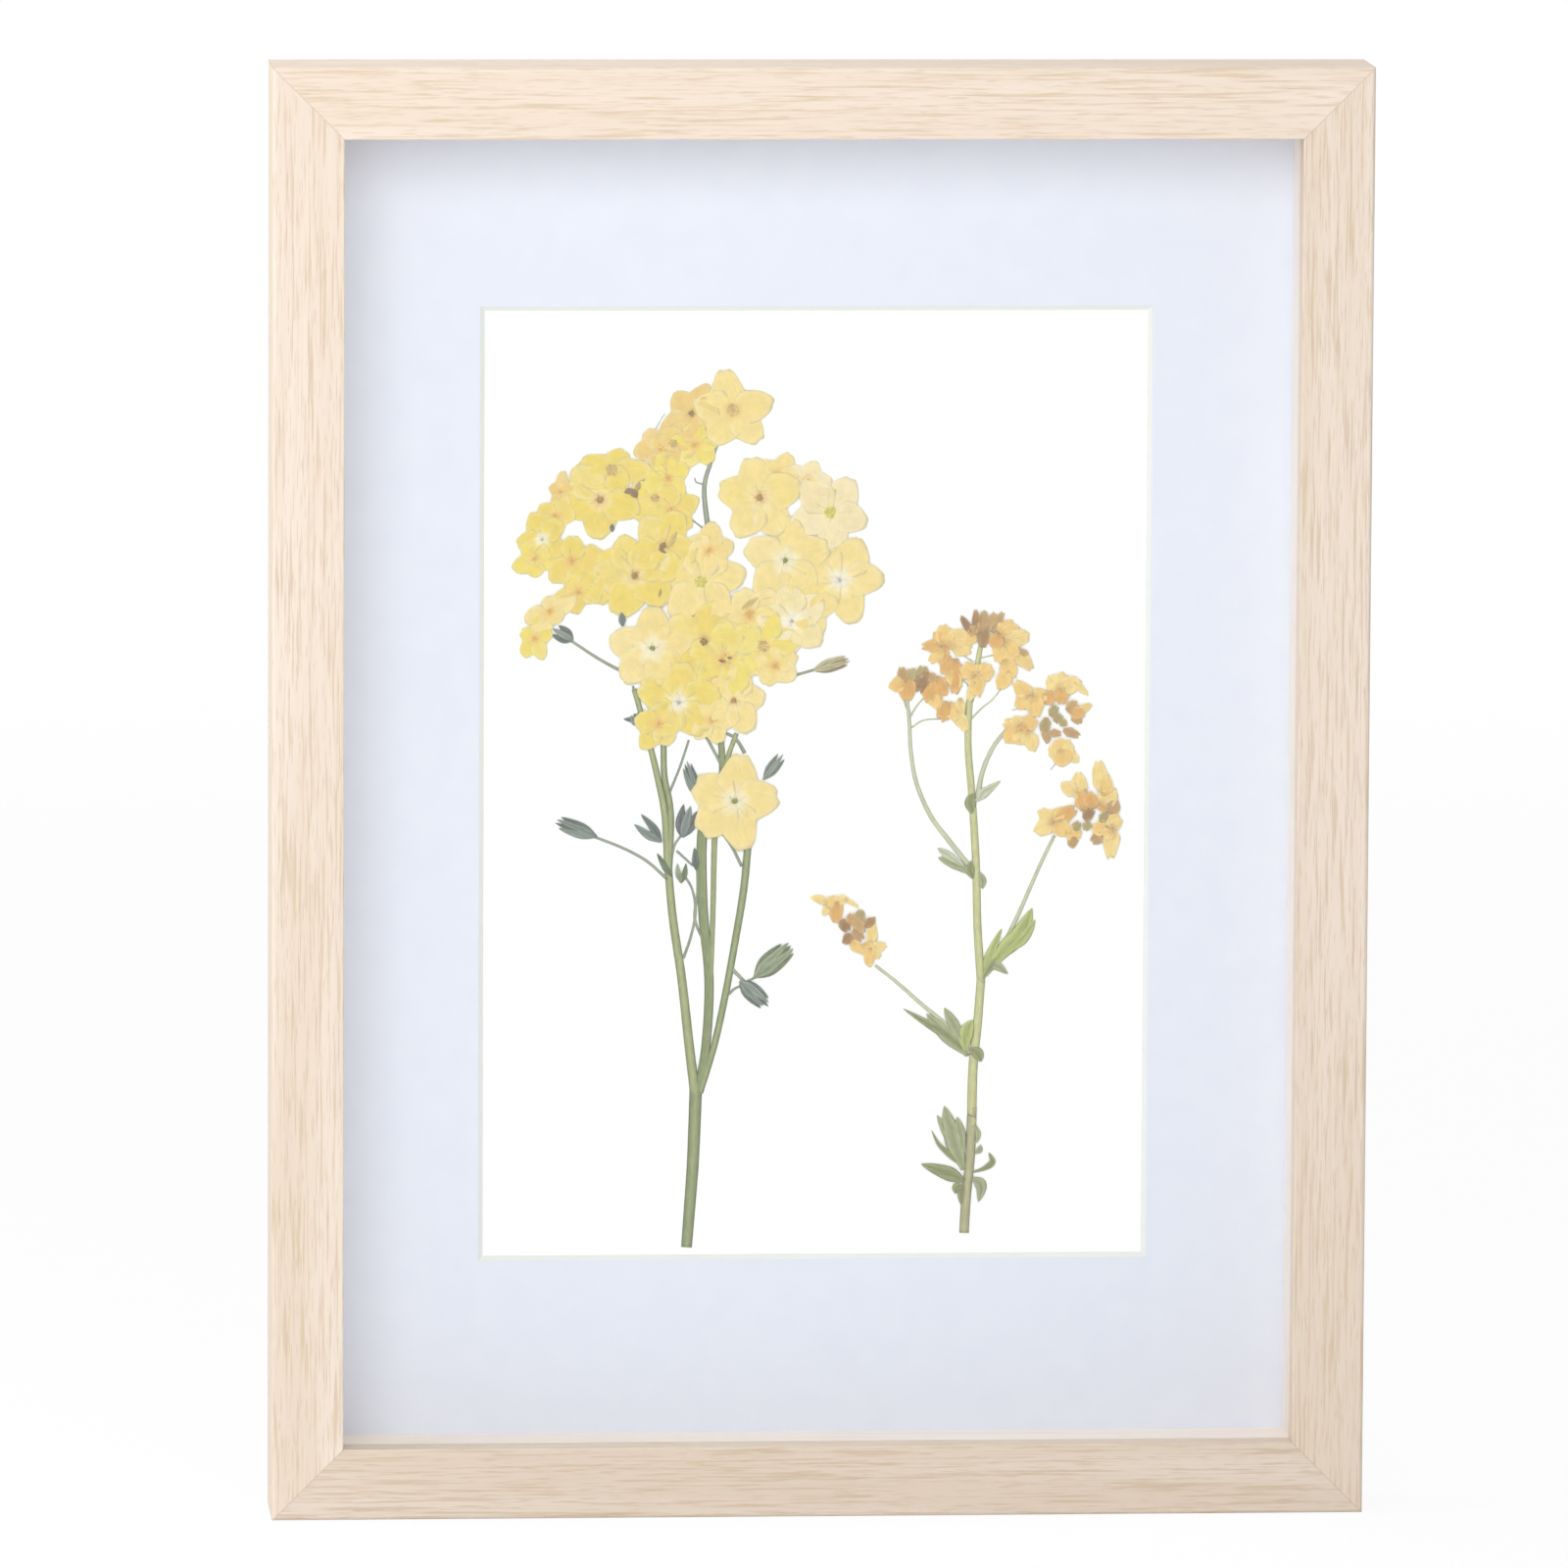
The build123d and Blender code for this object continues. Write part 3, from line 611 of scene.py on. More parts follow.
# Right sprig flowers: for each petal, foot x and z, tip x and z, width and tone
RIGHT_PETALS = (
    # top left
    (40, 41, 39, 34.5, 3.2, RUST), (39, 41, 32.6, 41, 3.6, RUST), (39.5, 40, 35, 36, 3.6, SUN),
    (39, 42, 36.6, 45, 3.4, RUST), (42, 41, 48.4, 39.6, 5.2, STRAW),
    (41, 42, 47, 45.6, 5.4, STRAW), (40, 41, 39.6, 47.6, 5.4, SUN),
    (40.6, 40.4, 42.6, 42.6, 3.4, RUST),
    # top, brown buds
    (48, 44.5, 44.6, 50.2, 2.2, UMBER), (52.4, 45, 54.6, 51.4, 2.6, BARK),
    (54, 45, 57.8, 51, 2.8, BARK), (49.4, 45, 48.8, 52.2, 2.5, UMBER),
    (51, 45, 51.8, 52.2, 2.7, BARK), (49.2, 44.4, 46.4, 41, 3.2, SUN),
    (51.4, 40.4, 51.8, 47.4, 3.8, UMBER), (49.6, 47, 47.2, 43.6, 2.8, BARK),
    # top right
    (56, 45, 60.6, 48.8, 4.2, SUN), (57, 44, 62.6, 46.8, 4.0, STRAW),
    (58, 42, 66.2, 43.6, 5.0, STRAW), (56.4, 44.6, 54, 40, 4.4, RUST),
    (60.6, 39, 66.2, 33.2, 4.2, STRAW), (61, 39, 65.6, 38.8, 2.6, BARK),
    (57.4, 41, 56, 35.6, 4.6, SUN), (58, 42, 61.8, 37, 5.6, SUN),
    (57.6, 36.6, 61.4, 31.2, 5.0, SUN), (59.4, 33.2, 56, 27.6, 4.4, SUN),
    # middle
    (49, 30, 46.8, 24, 2.8, STRAW), (49.6, 33, 49.6, 25, 4.8, SUN),
    (49.2, 31.6, 45.6, 35.6, 5.4, SUN), (49.8, 31.6, 54.2, 35, 5.6, SUN),
    # left of the stem
    (41, 38, 39.6, 32, 3.6, RUST), (44.6, 25, 45.4, 18.6, 2.8, STRAW),
    (42.8, 37, 43.4, 26.2, 5.4, RUST), (40.6, 33.4, 44.6, 28, 4.2, SUN),
    (35.2, 31.6, 35.6, 23.6, 5.4, RUST), (37, 31.4, 40.2, 25, 5.4, RUST),
    (36, 26, 38.6, 22, 4.4, SUN), (43, 21, 46.6, 14.6, 3.8, STRAW),
    (41, 23.4, 44.8, 18.6, 4.8, SUN), (41.4, 23.6, 38, 18.4, 5.2, RUST),
    # far left
    (28, 30, 23, 28.4, 4.4, SUN), (28, 30, 26.4, 34.6, 3.2, BARK),
    (28.6, 30.6, 31.2, 33.8, 3.4, SAGE), (28.6, 31, 29, 24.2, 5.6, RUST),
    (33.4, 31, 33.6, 35, 3.8, SAGE), (34.2, 33, 32.4, 26.4, 3.8, UMBER),
    (35, 32.4, 37, 30.2, 2.8, BARK),
    # right
    (66, 25, 61, 30, 4.8, SUN), (66, 25, 61.4, 22, 4.8, SUN), (67, 25, 71, 26.4, 5.2, SUN),
    (67, 26, 67.8, 19, 5.4, SUN), (70, 23.6, 73.4, 26.6, 4.4, RUST),
    (79.2, 30, 84, 26, 1.9, STRAW), (74, 27, 71.2, 32, 4.4, STRAW),
    (75, 28, 81, 30.6, 5.2, STRAW), (74.6, 27.4, 76.6, 32.6, 6.0, STRAW),
    (75.4, 28, 75, 23, 4.4, RUST), (77, 21, 80.4, 23.6, 3.2, BARK),
    (80.4, 20.8, 84.8, 22.6, 2.4, STRAW), (78, 21, 82.6, 19.4, 3.8, RUST),
    (79, 20, 81.2, 17, 3.2, BARK), (76, 15.2, 81.2, 13, 2.7, BARK),
    (72, 14.4, 75.4, 14, 2.4, BARK), (70.8, 19, 70.4, 13.4, 3.2, SAGE),
    (70.6, 15.6, 71, 11, 2.8, BARK), (72, 19.4, 74.2, 22.6, 2.8, SAGE),
    (73.4, 17.6, 75.4, 20, 3.2, SAGE), (75, 18, 77, 16.4, 2.4, SAGE),
    (63, 16, 57.8, 18, 4.2, SUN), (62.6, 16.4, 60.6, 19.2, 4.2, STRAW),
    (64, 16, 67.8, 19.2, 4.8, SUN), (65, 15, 66.8, 8.4, 4.4, STRAW),
    (63.6, 15.4, 61.8, 10.8, 5.2, STRAW), (63, 15.6, 57.8, 12, 5.2, SUN),
    (62.8, 17, 64.8, 14.4, 2.6, RUST), (78.6, 6.8, 81, 6, 2.6, STRAW),
    (75.6, 8.6, 71.4, 8.2, 5.0, STRAW), (75.6, 9, 73.6, 12.2, 5.0, SUN),
    (75.6, 8.6, 78.6, 11.4, 5.0, STRAW), (75.6, 8.6, 79.4, 6.4, 5.0, SUN),
    (75.6, 9, 75.4, 3.8, 5.4, SUN),
    # lower right
    (80.6, -4, 75.2, -1.2, 4.2, STRAW), (81.6, -4.6, 81.2, 2.8, 4.4, STRAW),
    (83, -3, 79.4, -5.4, 3.0, SUN), (88, -4, 85.4, 6.2, 4.4, STRAW),
    (88.6, -5, 89.8, 1.6, 4.6, SUN), (87.4, -7.6, 91.8, -2.6, 5.4, STRAW),
    (82.4, -9.4, 81.6, -3, 4.4, RUST), (85.2, -8.8, 84.4, -3.6, 4.4, RUST),
    (90, -10.2, 92.6, -6.2, 4.0, BARK), (87, -6.8, 90, -9.4, 3.4, RUST),
    (73.4, -13, 68.8, -9, 4.4, STRAW), (73, -13, 67.6, -16.6, 4.8, STRAW),
    (73, -12.4, 76, -8.6, 4.4, SUN), (74.4, -12, 80.2, -8.6, 4.6, RUST),
    (77, -15.4, 81.6, -17.6, 4.6, SUN), (73.8, -12.8, 77.6, -17.4, 5.0, SUN),
    (79.6, -17.4, 79, -21, 3.0, BARK), (91.2, -15, 91.6, -9.6, 4.4, STRAW),
    (91, -14.4, 94, -12, 3.6, STRAW), (91.4, -15, 90.6, -24.4, 4.6, STRAW),
    (88, -16.6, 84.6, -19, 3.6, BARK), (89.4, -15, 85, -14, 4.6, SUN),
    (91.4, -15.4, 87.6, -18.4, 4.2, SUN), (82.4, -12, 85.4, -9, 3.2, UMBER),
    (79.6, -15.4, 81.4, -12.8, 2.7, SAGE), (84, -12.8, 82.8, -15.6, 2.7, SAGE),
    (87.4, -12.8, 89.8, -10.2, 2.7, SAGE),
    # lower left
    (5, -37, -0.4, -35.6, 2.4, STRAW), (5, -38, 3.2, -41, 2.2, STRAW),
    (7.4, -37.4, 10.4, -35.2, 3.0, STRAW), (10, -36, 14, -38.8, 1.4, STRAW),
    (7, -39, 6, -34.8, 3.6, SUN), (7.4, -37, 8, -43.6, 4.0, RUST),
    (9, -42.4, 11.4, -46, 3.2, UMBER), (12, -44, 12.6, -40.2, 3.2, BARK),
    (14, -43, 15.4, -39.2, 3.2, SAGE), (16, -44.4, 19.6, -42, 2.6, UMBER),
    (12.8, -41.6, 16.2, -46, 3.6, BARK), (11.8, -46.6, 9.6, -49.8, 2.8, UMBER),
    (18, -50, 18.2, -43.2, 3.2, STRAW), (12.6, -45.4, 15.8, -48.6, 3.2, BARK),
    (11.6, -49, 16.4, -52, 3.2, SUN), (18.2, -51, 22.8, -50, 3.2, STRAW),
    (18, -51.8, 21.2, -53.8, 2.6, STRAW), (15.6, -49.8, 19, -53.4, 4.2, SUN),
    (18, -51, 17.6, -57, 3.4, SUN),
)

REED = (194, 194, 142)
REED_FOOT = (172, 168, 134)
THREAD = (196, 197, 170)

# Right sprig stems, with the same values as LEFT_STEMS
RIGHT_STEMS = (
    (2.9, 2.9, REED_FOOT, ((46.9, -138.4), (47.5, -127), (48.6, -115), (49.1, -100))),
    (2.9, 2.5, REED, ((49.0, -106), (49.3, -88), (50.6, -74), (51.6, -60))),
    (2.5, 1.9, REED, ((51.6, -62), (50.4, -45), (49.9, -28), (49.2, -15), (48.2, -2), (47.2, 10),
                      (47.4, 22), (48.4, 29))),
    (1.9, 1.2, REED, ((47.8, 24), (49.6, 34), (51, 42), (51.6, 45))),
    (1.6, 1.0, THREAD, ((48.4, -27), (42, -19), (36, -11), (31.6, -1), (29.8, 9), (29.3, 18),
                        (28.6, 25))),
    (0.7, 0.5, THREAD, ((29.4, 19), (31.4, 22.4), (33.6, 25))),
    (0.6, 0.4, THREAD, ((30, 16), (33.6, 18.2), (39, 18.6))),
    (0.5, 0.4, THREAD, ((29.2, 20), (28, 23), (27.4, 26))),
    (1.6, 1.1, THREAD, ((50.2, -5), (51.6, 2.6), (54.8, 10), (59, 15.6))),
    (0.6, 0.4, THREAD, ((47.6, 18), (51, 21.6), (54.6, 24.6), (57.6, 28.4))),
    (0.5, 0.4, THREAD, ((48.6, 36), (46, 37.6), (43, 39.2))),
    (0.5, 0.4, THREAD, ((50.4, 37), (53, 37.6), (56, 38.2))),
    (0.5, 0.4, THREAD, ((47.6, 27), (46.6, 29.4), (44.6, 31))),
    (1.4, 1.0, THREAD, ((53, -58), (58, -50.6), (62.6, -41.4), (66.4, -32.6), (70, -24.4),
                        (73.6, -17))),
    (1.4, 0.9, THREAD, ((47.6, -82), (41, -74.6), (33.6, -68.4), (26.4, -62), (19.4, -56.4))),
    (0.5, 0.4, (206, 206, 200), ((75, 6), (73.4, 4.4), (72.2, 3))),
    (0.5, 0.4, (206, 206, 200), ((65, 21.6), (62, 21.6), (60.4, 21.2))),
)

LEAF = (180, 188, 122)
LEAF_GREY = (166, 170, 136)
LEAF_DARK = (146, 150, 112)
LEAF_PALE = (200, 204, 180)

# Right sprig leaves: greatest width, its place along the leaf, tone and the spine
RIGHT_LEAVES = (
    (3.6, 0.5, LEAF_DARK, ((48.8, -10.5), (48.0, -7), (48.8, -3.5))),
    (2.8, 0.4, LEAF_PALE, ((49.6, -6.4), (52.6, -3.6), (57.2, -0.2))),
    (2.8, 0.5, LEAF_PALE, ((50.2, -6.4), (51.6, -4), (53.8, -2.2))),
    (3.2, 0.55, LEAF_GREY, ((49, -29), (44, -25.8), (38.2, -23.6))),
    (2.6, 0.6, LEAF_PALE, ((47.4, -27.4), (42.6, -23.8), (38, -20.6))),
    (3.0, 0.5, LEAF_DARK, ((49, -30), (48, -27.4), (48.4, -24.6))),
    (2.4, 0.5, LEAF_GREY, ((50.4, -27.6), (51.8, -30.6), (51.8, -33.2))),
    (3.2, 0.4, LEAF, ((53, -59), (54.2, -53.6), (57.8, -45.2))),
    (5.6, 0.55, LEAF, ((52.8, -59.4), (58, -52.4), (63.6, -46.4), (67, -39))),
    (3.6, 0.5, LEAF, ((58, -52.6), (63.8, -48.6), (68, -42.6))),
    (2.8, 0.4, LEAF_GREY, ((54, -56), (56.6, -56.8), (59.8, -59.2))),
    (2.0, 0.5, LEAF_DARK, ((52.2, -60.6), (54.6, -56.6), (56.6, -53.6))),
    (4.6, 0.45, LEAF_GREY, ((47.6, -84), (40.6, -77), (35, -71.2))),
    (3.0, 0.35, LEAF_DARK, ((48, -84), (42, -78.4), (35, -74), (27.8, -69.6))),
    (3.4, 0.5, LEAF_GREY, ((46.6, -80.6), (43.4, -74.6), (40.4, -69.4))),
    (5.0, 0.5, LEAF, ((46.8, -82.6), (47, -77.6), (49, -73.2))),
    (0.8, 0.5, LEAF_GREY, ((45.4, -80.4), (43.4, -80.8), (42, -81.4))),
    (3.6, 0.5, LEAF_DARK, ((48, -82), (50.6, -83.4), (51.8, -86))),
    (2.8, 0.5, LEAF_GREY, ((45.6, -114.6), (41.6, -108), (38.4, -102.2))),
    (3.6, 0.5, LEAF_GREY, ((46.4, -114), (45.6, -108.4), (44.6, -102.8))),
    (5.6, 0.5, LEAF_GREY, ((46.6, -119), (43.6, -110), (40.6, -99.4))),
    (1.7, 0.3, LEAF_DARK, ((46.2, -118), (41.6, -113.8), (38.8, -110.8), (36.8, -106.8))),
    (4.4, 0.45, LEAF_DARK, ((47, -122.4), (41.6, -120), (33.6, -117.2))),
    (2.8, 0.5, LEAF_DARK, ((46.6, -124), (44.6, -124.4), (44.2, -126.4))),
    (2.4, 0.4, LEAF_DARK, ((46.8, -123), (46, -127), (46.2, -130.2))),
    (1.7, 0.5, LEAF_GREY, ((50.2, -105.4), (51, -108), (50.6, -111))),
    (2.0, 0.5, LEAF_GREY, ((50, -114), (51.4, -113), (51.8, -111.4))),
    (2.0, 0.6, LEAF_DARK, ((49.4, -119.8), (53, -118.6), (55.4, -116.6), (54.2, -113.8))),
    (3.6, 0.4, LEAF_GREY, ((49.4, -121.6), (52, -124), (51.2, -129))),
)


# Pressed plants: shapes --------------------------------------------------------------------

# Heights above the card, in millimetres
STEM_LAYER = 0.0
BUD_LAYER = 0.3
LEAF_LAYER = 0.25
LEAF_STEP = 0.02             # from one leaf to the next, over LEAF_CYCLE leaves
LEAF_CYCLE = 6
BLOOM_LAYER = 0.42
BLOOM_STEP = 0.008           # from one bloom to the next
LOBE_STEP = 0.010            # from one lobe of a bloom to the next
EYE_RISE = 0.08              # of a bloom's eye above its lobes
SEPAL_STEP = 0.05            # between neighbouring sepals
PETAL_LAYER = 0.5
PETAL_STEP = 0.008           # from one right-sprig petal to the next, over PETAL_CYCLE petals
PETAL_CYCLE = 30

# Thicknesses in millimetres
STEM_THICKNESS = 0.45
LEAF_THICKNESS = 0.22
PETAL_THICKNESS = 0.05

# How finely shapes are cut, in steps or points
SPINE_STEPS = 6
RING_POINTS = 8
PETAL_ROWS = 9
PETAL_COLUMNS = 14

LOBES = 5
EYE_GRAINS = 6
BLOOM_FULLNESS = 1.06        # all left-sprig blooms, as a share of their listed radius
PETAL_FULLNESS = 1.12        # all right-sprig petals, as a share of their listed width
LEAST_WIDTH = 0.05           # of a strip, where its outline comes to a point
PATTERN_RANGE = 90           # how far apart the vein patterns of two strips or petals may start


def plant(name, vein_contrast, sheen=0.0, level=1.0):
    """Dried plant tissue: the point's own tint, with veins that run along it and soft mottling."""
    s = Shader(name)
    tint = s.node("Attribute", attribute_name="tint").outputs["Color"]
    grain = s.node("Attribute", attribute_name="grain").outputs["Vector"]
    veins = s.noise(s.scaled(grain, (2.6, 0.35, 1.0)), scale=1.0, detail=3.0, roughness=0.6)
    clouds = s.noise(s.place(), scale=420.0, detail=3.0, roughness=0.55)
    shade = s.line(s.between(veins, 0.25, 0.75), vein_contrast, 1.0 - vein_contrast * 0.55)
    soft = s.line(s.between(clouds, 0.3, 0.7), 0.07 * level, 0.965 * level)
    tone = s.mix(1.0, tint, shade, "MULTIPLY")
    tone = s.mix(1.0, tone, soft, "MULTIPLY")
    return s.finish(Base_Color=tone, Roughness=0.72, Specular_IOR_Level=0.2, Sheen_Weight=sheen,
                    Normal=s.bump(veins, 0.00012, 0.5))


def strip(work, spine, width_at, lift, thickness, tone_at, seed):
    """A flattened stem or leaf: an oval section carried along a smooth spine."""
    run = smooth_run(spine, SPINE_STEPS)
    rows = []
    length = 0.0
    for i, point in enumerate(run):
        before = run[max(i - 1, 0)]
        after = run[min(i + 1, len(run) - 1)]
        along = (after - before).normalized()
        side = Vector((-along.y, along.x))
        length += (point - before).length
        t = i / (len(run) - 1)
        half = max(width_at(t), LEAST_WIDTH) / 2
        thick = thickness * (0.35 + 0.65 * min(half / 0.8, 1.0))
        row = []
        for j in range(RING_POINTS):
            angle = 2 * math.pi * j / RING_POINTS
            across = math.cos(angle)
            place = point + side * (half * across)
            rise = lift + thick * (0.5 + 0.5 * math.sin(angle))
            grain = (half * across, length, seed)
            row.append((on_card(place.x, place.y, rise), tone_at(t, across), grain))
        rows.append(row)
    work.grid(rows, closed=True, capped=True)


def stem(work, foot_width, tip_width, tone, spine, layer, dice):
    """A strip that tapers evenly, with a painted highlight along it and painted shade on its sides.
    """
    lean = dice.uniform(-0.5, 0.5)
    # painted highlight and painted shade: pale is a highlight along the stem, at a random place
    # across it, and dark is shade on its sides
    pale = blend(tone, (214, 214, 176), 0.35)
    dark = blend(tone, (104, 112, 92), 0.35)

    def width(t):
        return foot_width + (tip_width - foot_width) * t

    def tint(t, across):
        light = blend(tone, pale, ease(1 - abs(across - lean) * 1.6))
        return blend(light, dark, ease((abs(across) - 0.55) / 0.45) * 0.8)

    strip(work, spine, width, layer, STEM_THICKNESS, tint, dice.uniform(0, PATTERN_RANGE))


def leaf(work, widest, peak, tone, spine, layer, dice):
    """A strip that swells to its peak and ends in a point, with a dark rib and pale sides."""
    dark = blend(tone, (108, 116, 84), 0.4)
    pale = blend(tone, (216, 218, 186), 0.4)

    def width(t):
        if t < peak:
            return widest * (0.3 + 0.7 * ease(t / peak))
        return widest * (1 - ((t - peak) / (1 - peak)) ** 1.7)

    def tint(t, across):
        rib = blend(tone, dark, ease(1 - abs(across) * 3.0) * 0.7)
        return blend(rib, pale, ease((abs(across) - 0.35) / 0.5) * (0.35 + 0.3 * t))

    strip(work, spine, width, layer, LEAF_THICKNESS, tint, dice.uniform(0, PATTERN_RANGE))


def bud(work, foot, tip, width, tone, sepals, layer, dice):
    """A closed bud: sepals that overlap at the foot and end in separate points."""
    foot = Vector(foot)
    tip = Vector(tip)
    along = tip - foot
    side = Vector((-along.y, along.x)).normalized()
    for k in range(sepals):
        share = 0.0 if sepals == 1 else 2 * k / (sepals - 1) - 1
        reach = 1.0 - 0.10 * abs(share) + dice.uniform(-0.06, 0.06)
        middle = foot + along * 0.42 + side * (share * width * 0.27)
        end = foot + along * reach + side * (share * width * 0.36)
        # painted highlight and shade: every other sepal, the ones lying on top, is pulled by a
        # random share towards pale grey, and the rest towards near black
        own = blend(tone, (206, 212, 200) if k % 2 else (66, 74, 72), dice.uniform(0.15, 0.40))
        leaf(work, width * (0.50 if sepals > 1 else 1.0), 0.40, own, (foot, middle, end),
             layer + SEPAL_STEP * (k % 2), dice)


def petal(work, foot, direction, length, width, tint_at, lift, dice, ragged=0.035, base=0.3):
    """A thin fan-shaped petal from its foot.

    tint_at takes the share along and the share across. ragged is how uneven its tip is, and base
    how wide its foot is, both as shares.
    """
    side = Vector((-direction.y, direction.x))
    phase = dice.uniform(0, 6.28)
    waves = dice.uniform(0.02, 0.06)
    seed = dice.uniform(0, PATTERN_RANGE)
    bend = dice.uniform(-0.08, 0.08) * length
    notch = dice.uniform(0.0, 2 * ragged)
    ripples = dice.uniform(5.0, 9.0)
    shares = [2 * j / PETAL_COLUMNS - 1 for j in range(PETAL_COLUMNS + 1)]
    reaches = [length * (math.sqrt(1 - (0.88 * s) ** 2) - notch * (1 - min(abs(s) * 3, 1))
                         + ragged * (0.6 * math.sin(ripples * s + phase) + dice.uniform(-0.4, 0.4)))
               for s in shares]
    rows = []
    for i in range(PETAL_ROWS + 1):
        t = i / PETAL_ROWS
        spread = base + (1 - base) * ease(t / 0.72)
        half = width / 2 * spread * (1 - 0.06 * ease((t - 0.7) / 0.3))
        row = []
        for s, reach in zip(shares, reaches):
            place = foot + direction * (t * reach) + side * (half * s + bend * t * t)
            rise = lift + waves * math.sin(3.4 * s + 4.0 * t + phase)
            grain = (half * s * 1.4, t * length, seed)
            row.append((on_card(place.x, place.y, rise), tint_at(t, s), grain))
        rows.append(row)
    work.grid(rows)


def bloom(work, eyes, row, layer, dice):
    """A five-lobed corolla with a starred heart."""
    x, z, radius, turn, tone, heart, squash, squash_turn = row
    radius *= BLOOM_FULLNESS
    star, star_reach, ring, eye, eye_radius = HEARTS[heart]
    lean = math.radians(squash_turn)
    major = Vector((math.cos(lean), math.sin(lean)))
    minor = Vector((-major.y, major.x))
    for k in dice.sample(range(LOBES), LOBES):
        angle = math.radians(turn + 360 / LOBES * k + dice.uniform(-7, 7))
        way = Vector((math.cos(angle), math.sin(angle)))
        way = major * way.dot(major) + minor * (way.dot(minor) * squash)
        own = blend(tone, dice.choice((GOLD, CREAM, AMBER, PALE)), dice.uniform(0.0, 0.3))

        def tint(t, s, own=own):
            rim = max(abs(s) ** 6, ease((t - 0.8) / 0.2))
            colour = blend(own, EDGE, 0.4 * rim)
            ray = star_reach * (1.15 - 0.5 * abs(s))
            colour = blend(colour, star, 0.85 * ease(1.25 * (1 - t / ray)))
            return blend(colour, ring, 0.9 * ease(1.4 * (1 - t / 0.17)))

        length = radius * way.length * dice.uniform(0.95, 1.04)
        width = radius * (0.86 if squash > 0.7 else 0.68) * dice.uniform(0.92, 1.05)
        petal(work, Vector((x, z)), way.normalized(), length, width, tint,
              layer + LOBE_STEP * k, dice)
    if eye_radius:
        marks(eyes, x, z, radius * eye_radius, eye, layer + EYE_RISE, dice)


def marks(eyes, x, z, radius, tone, layer, dice):
    """The eye: a few small grains in a ring round a middle one."""
    for k in range(EYE_GRAINS + 1):
        angle = 2 * math.pi * k / EYE_GRAINS + dice.uniform(-0.3, 0.3)
        off = radius * 0.55 * (k < EYE_GRAINS)
        centre = Vector((x + off * math.cos(angle), z + off * math.sin(angle)))
        grain_tone = blend(tone, (110, 84, 50), dice.uniform(0.0, 0.25))
        size = radius * dice.uniform(0.45, 0.7)
        way = Vector((math.cos(angle), math.sin(angle)))
        leaf(eyes, size * 1.5, 0.5, grain_tone,
             (centre - way * size * 0.8, centre, centre + way * size * 0.8), layer, dice)


def make_left_sprig():
    """The sprig with round yellow blooms."""
    dice = random.Random(7)
    stems = Patchwork()
    for foot_width, tip_width, tone, spine in LEFT_STEMS:
        stem(stems, foot_width, tip_width, tone, spine, STEM_LAYER, dice)
    buds = Patchwork()
    for foot, tip, width, tone, sepals in LEFT_BUDS:
        bud(buds, foot, tip, width, tone, sepals, BUD_LAYER, dice)
    corollas = Patchwork()
    eyes = Patchwork()
    for i, row in enumerate(LEFT_BLOOMS):
        bloom(corollas, eyes, row, BLOOM_LAYER + BLOOM_STEP * i, dice)
    top = BLOOM_LAYER + BLOOM_STEP * len(LEFT_BLOOMS)
    for foot, tip, width, tone in LEFT_SCRAPS:
        leaf(eyes, width, 0.45, tone, (foot, blend(foot, tip, 0.5), tip), top, dice)
    green = plant("left_stem_tissue", 0.22)
    petals = plant("left_petal_tissue", 0.10, 0.1, level=0.91)
    stems.piece("left_stems", green, "left_stems", "left_sprig_stems")
    buds.piece("left_buds", plant("left_bud_tissue", 0.35), "left_buds", "left_sprig_buds")
    flowers = corollas.piece("left_corollas", petals, "left_petals", "left_sprig_blooms")
    thicken(flowers)
    eyes.piece("left_eyes", plant("left_eye_tissue", 0.25), "left_petals", "left_sprig_blooms")


def make_right_sprig():
    """The sprig with small ragged flowers on thin stalks."""
    dice = random.Random(19)
    stems = Patchwork()
    for foot_width, tip_width, tone, spine in RIGHT_STEMS:
        stem(stems, foot_width, tip_width, tone, spine, STEM_LAYER, dice)
    leaves = Patchwork()
    for i, (widest, peak, tone, spine) in enumerate(RIGHT_LEAVES):
        leaf(leaves, widest, peak, tone, spine, LEAF_LAYER + LEAF_STEP * (i % LEAF_CYCLE), dice)
    corollas = Patchwork()
    for i, (x0, z0, x1, z1, width, tone) in enumerate(RIGHT_PETALS):
        foot = Vector((x0, z0))
        way = Vector((x1, z1)) - foot
        own = blend(tone, dice.choice((SUN, STRAW, RUST)), dice.uniform(0.0, 0.25))

        def tint(t, s, own=own):
            rim = max(abs(s) ** 4, ease((t - 0.8) / 0.2))
            colour = blend(own, blend(own, EDGE, 0.5), 0.6 * rim)
            return blend(colour, BARK, 0.5 * ease(1 - t / 0.45))

        petal(corollas, foot, way.normalized(), way.length, width * PETAL_FULLNESS, tint,
              PETAL_LAYER + PETAL_STEP * (i % PETAL_CYCLE), dice, ragged=0.07, base=0.42)
    stems.piece("right_stems", plant("right_stem_tissue", 0.2), "right_stems",
                "right_sprig_stems")
    leaves.piece("right_leaves", plant("right_leaf_tissue", 0.3), "right_leaves",
                 "right_sprig_leaves")
    flowers = corollas.piece("right_corollas", plant("right_petal_tissue", 0.2, 0.1, level=0.94),
                             "right_petals", "right_sprig_blooms")
    thicken(flowers)


def thicken(thing):
    """Give thin petals their real thickness."""
    shell = thing.modifiers.new("thickness", "SOLIDIFY")
    shell.thickness = PETAL_THICKNESS * MM
    shell.offset = 0.0


# Studio ------------------------------------------------------------------------------------

CAMERA_DISTANCE = 4.4
CAMERA_AZIMUTH = -4.3
CAMERA_ELEVATION = 7.0
CAMERA_ROLL = 0.30
CAMERA_LENS = 335.2
CAMERA_SENSOR = 36.0
CAMERA_SHIFT = (-0.0212, 0.0028)
CAMERA_CLIP_END = 100.0

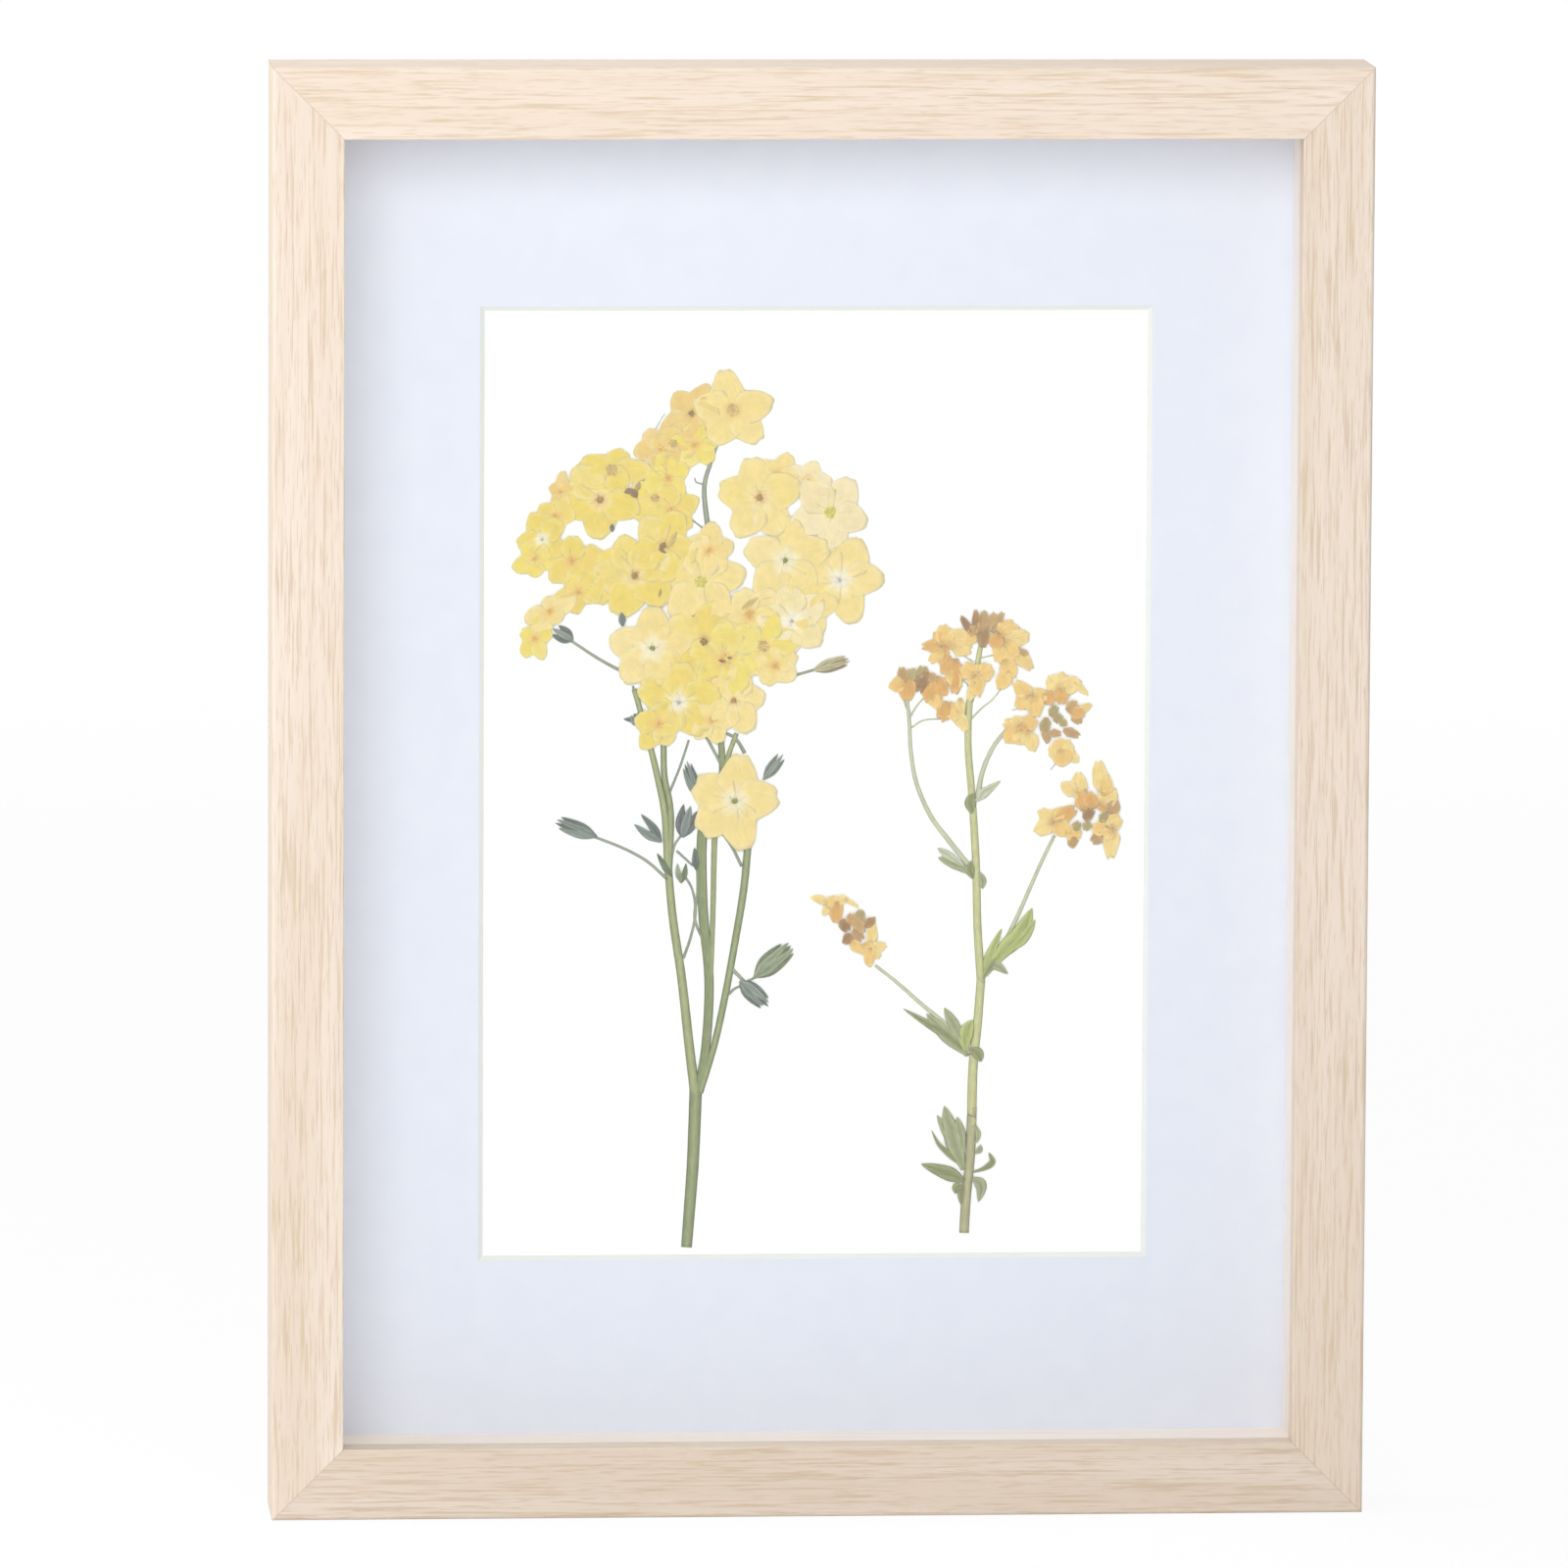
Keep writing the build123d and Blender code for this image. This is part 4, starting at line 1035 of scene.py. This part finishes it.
KEY_LAMP = dict(place=(-0.30, -1.25, 0.80), size=(1.2, 0.9), power=11.2)
FILL_LAMP = dict(place=(-1.3, 0.1, 1.5), size=(1.2, 1.2), power=18.0)
SKY_TONE = (0.97, 0.985, 1.0)
SKY_STRENGTH = 0.50

FLOOR_REACH = 40.0           # metres from the middle to each edge
FLOOR_GAP = 0.0002           # metres, so that the floor and the frame's base don't flicker
FLOOR_TONES = ((0.93, 0.93, 0.93), (0.91, 0.91, 0.91))
FLOOR_WHITE = 0.92           # how white the floor looks near the object; the rest is its shadow
ALL_WHITE = (0.8, 2.5)       # metres from the middle where it starts and ends turning all white


def aim(thing, place, target, roll=0.0):
    """Put a camera or lamp at a place, looking at a target, rolled by some degrees."""
    thing.location = place
    turn = (Vector(target) - Vector(place)).to_track_quat("-Z", "Y")
    thing.rotation_euler = (turn @ Quaternion((0, 0, 1), math.radians(roll))).to_euler()


def make_camera():
    """A long lens, almost square on, a little above and to the left."""
    data = bpy.data.cameras.new("camera")
    data.sensor_width = CAMERA_SENSOR
    data.lens = CAMERA_LENS
    data.shift_x, data.shift_y = CAMERA_SHIFT
    data.clip_end = CAMERA_CLIP_END
    camera = bpy.data.objects.new("camera", data)
    bpy.context.scene.collection.objects.link(camera)
    low, high = cad_box
    centre = (low + high) / 2
    azimuth = math.radians(CAMERA_AZIMUTH)
    elevation = math.radians(CAMERA_ELEVATION)
    back = Vector((math.sin(azimuth) * math.cos(elevation),
                   -math.cos(azimuth) * math.cos(elevation), math.sin(elevation)))
    aim(camera, centre + back * CAMERA_DISTANCE, centre, CAMERA_ROLL)
    bpy.context.scene.camera = camera


def make_lamp(name, place, size, power):
    """A soft lamp aimed at the middle of the frame."""
    data = bpy.data.lights.new(name, "AREA")
    data.shape = "RECTANGLE"
    data.size, data.size_y = size
    data.energy = power
    made = bpy.data.objects.new(name, data)
    bpy.context.scene.collection.objects.link(made)
    aim(made, place, (0.0, 0.0, MIDDLE_Z))


def make_sky():
    """Even, faintly cool light, with pure white wherever the sky itself is seen."""
    world = bpy.data.worlds.new("studio")
    world.use_nodes = True
    bpy.context.scene.world = world
    world.node_tree.nodes.clear()
    w = Nodes(world.node_tree)
    sky = w.node("Background", {"Color": SKY_TONE, "Strength": SKY_STRENGTH})
    backdrop = w.node("Background", {"Color": WHITE, "Strength": 1.0})
    both = w.node("MixShader", {0: w.seen_directly(), 1: sky.outputs[0], 2: backdrop.outputs[0]})
    w.node("OutputWorld", {"Surface": both.outputs[0]})


def make_floor():
    """A pale floor that looks white apart from the object's soft shadow, and all white far off."""
    mesh = bpy.data.meshes.new("floor")
    corners = [(x * FLOOR_REACH, y * FLOOR_REACH, 0)
               for x, y in ((-1, -1), (1, -1), (1, 1), (-1, 1))]
    mesh.from_pydata(corners, [], [(0, 1, 2, 3)])
    floor = bpy.data.objects.new("floor", mesh)
    floor.location.z = cad_box[0].z - FLOOR_GAP
    bpy.context.scene.collection.objects.link(floor)
    s = Shader("studio_floor")
    place = s.place()
    grain = s.noise(place, scale=40.0, detail=3.0)
    s.finish(Base_Color=s.mix(s.between(grain, 0.3, 0.7), *FLOOR_TONES), Roughness=0.9,
             Specular_IOR_Level=0.1)
    white = s.node("Emission", {"Color": WHITE, "Strength": 1.0})
    reach = s.node("VectorMath", {0: place}, operation="LENGTH").outputs["Value"]
    white_share = s.line(s.between(reach, *ALL_WHITE), 1.0 - FLOOR_WHITE, FLOOR_WHITE)
    share = s.math("MULTIPLY", s.seen_directly(), white_share)
    both = s.node("MixShader", {0: share, 1: s.surface.outputs[0], 2: white.outputs[0]})
    s.feed(s.output, {"Surface": both.outputs[0]})
    mesh.materials.append(s.material)


make_camera()
dress_frame()
make_left_sprig()
make_right_sprig()
make_lamp("key", **KEY_LAMP)
make_lamp("fill", **FILL_LAMP)
make_sky()
make_floor()
bpy.context.scene.view_settings.view_transform = "Standard"
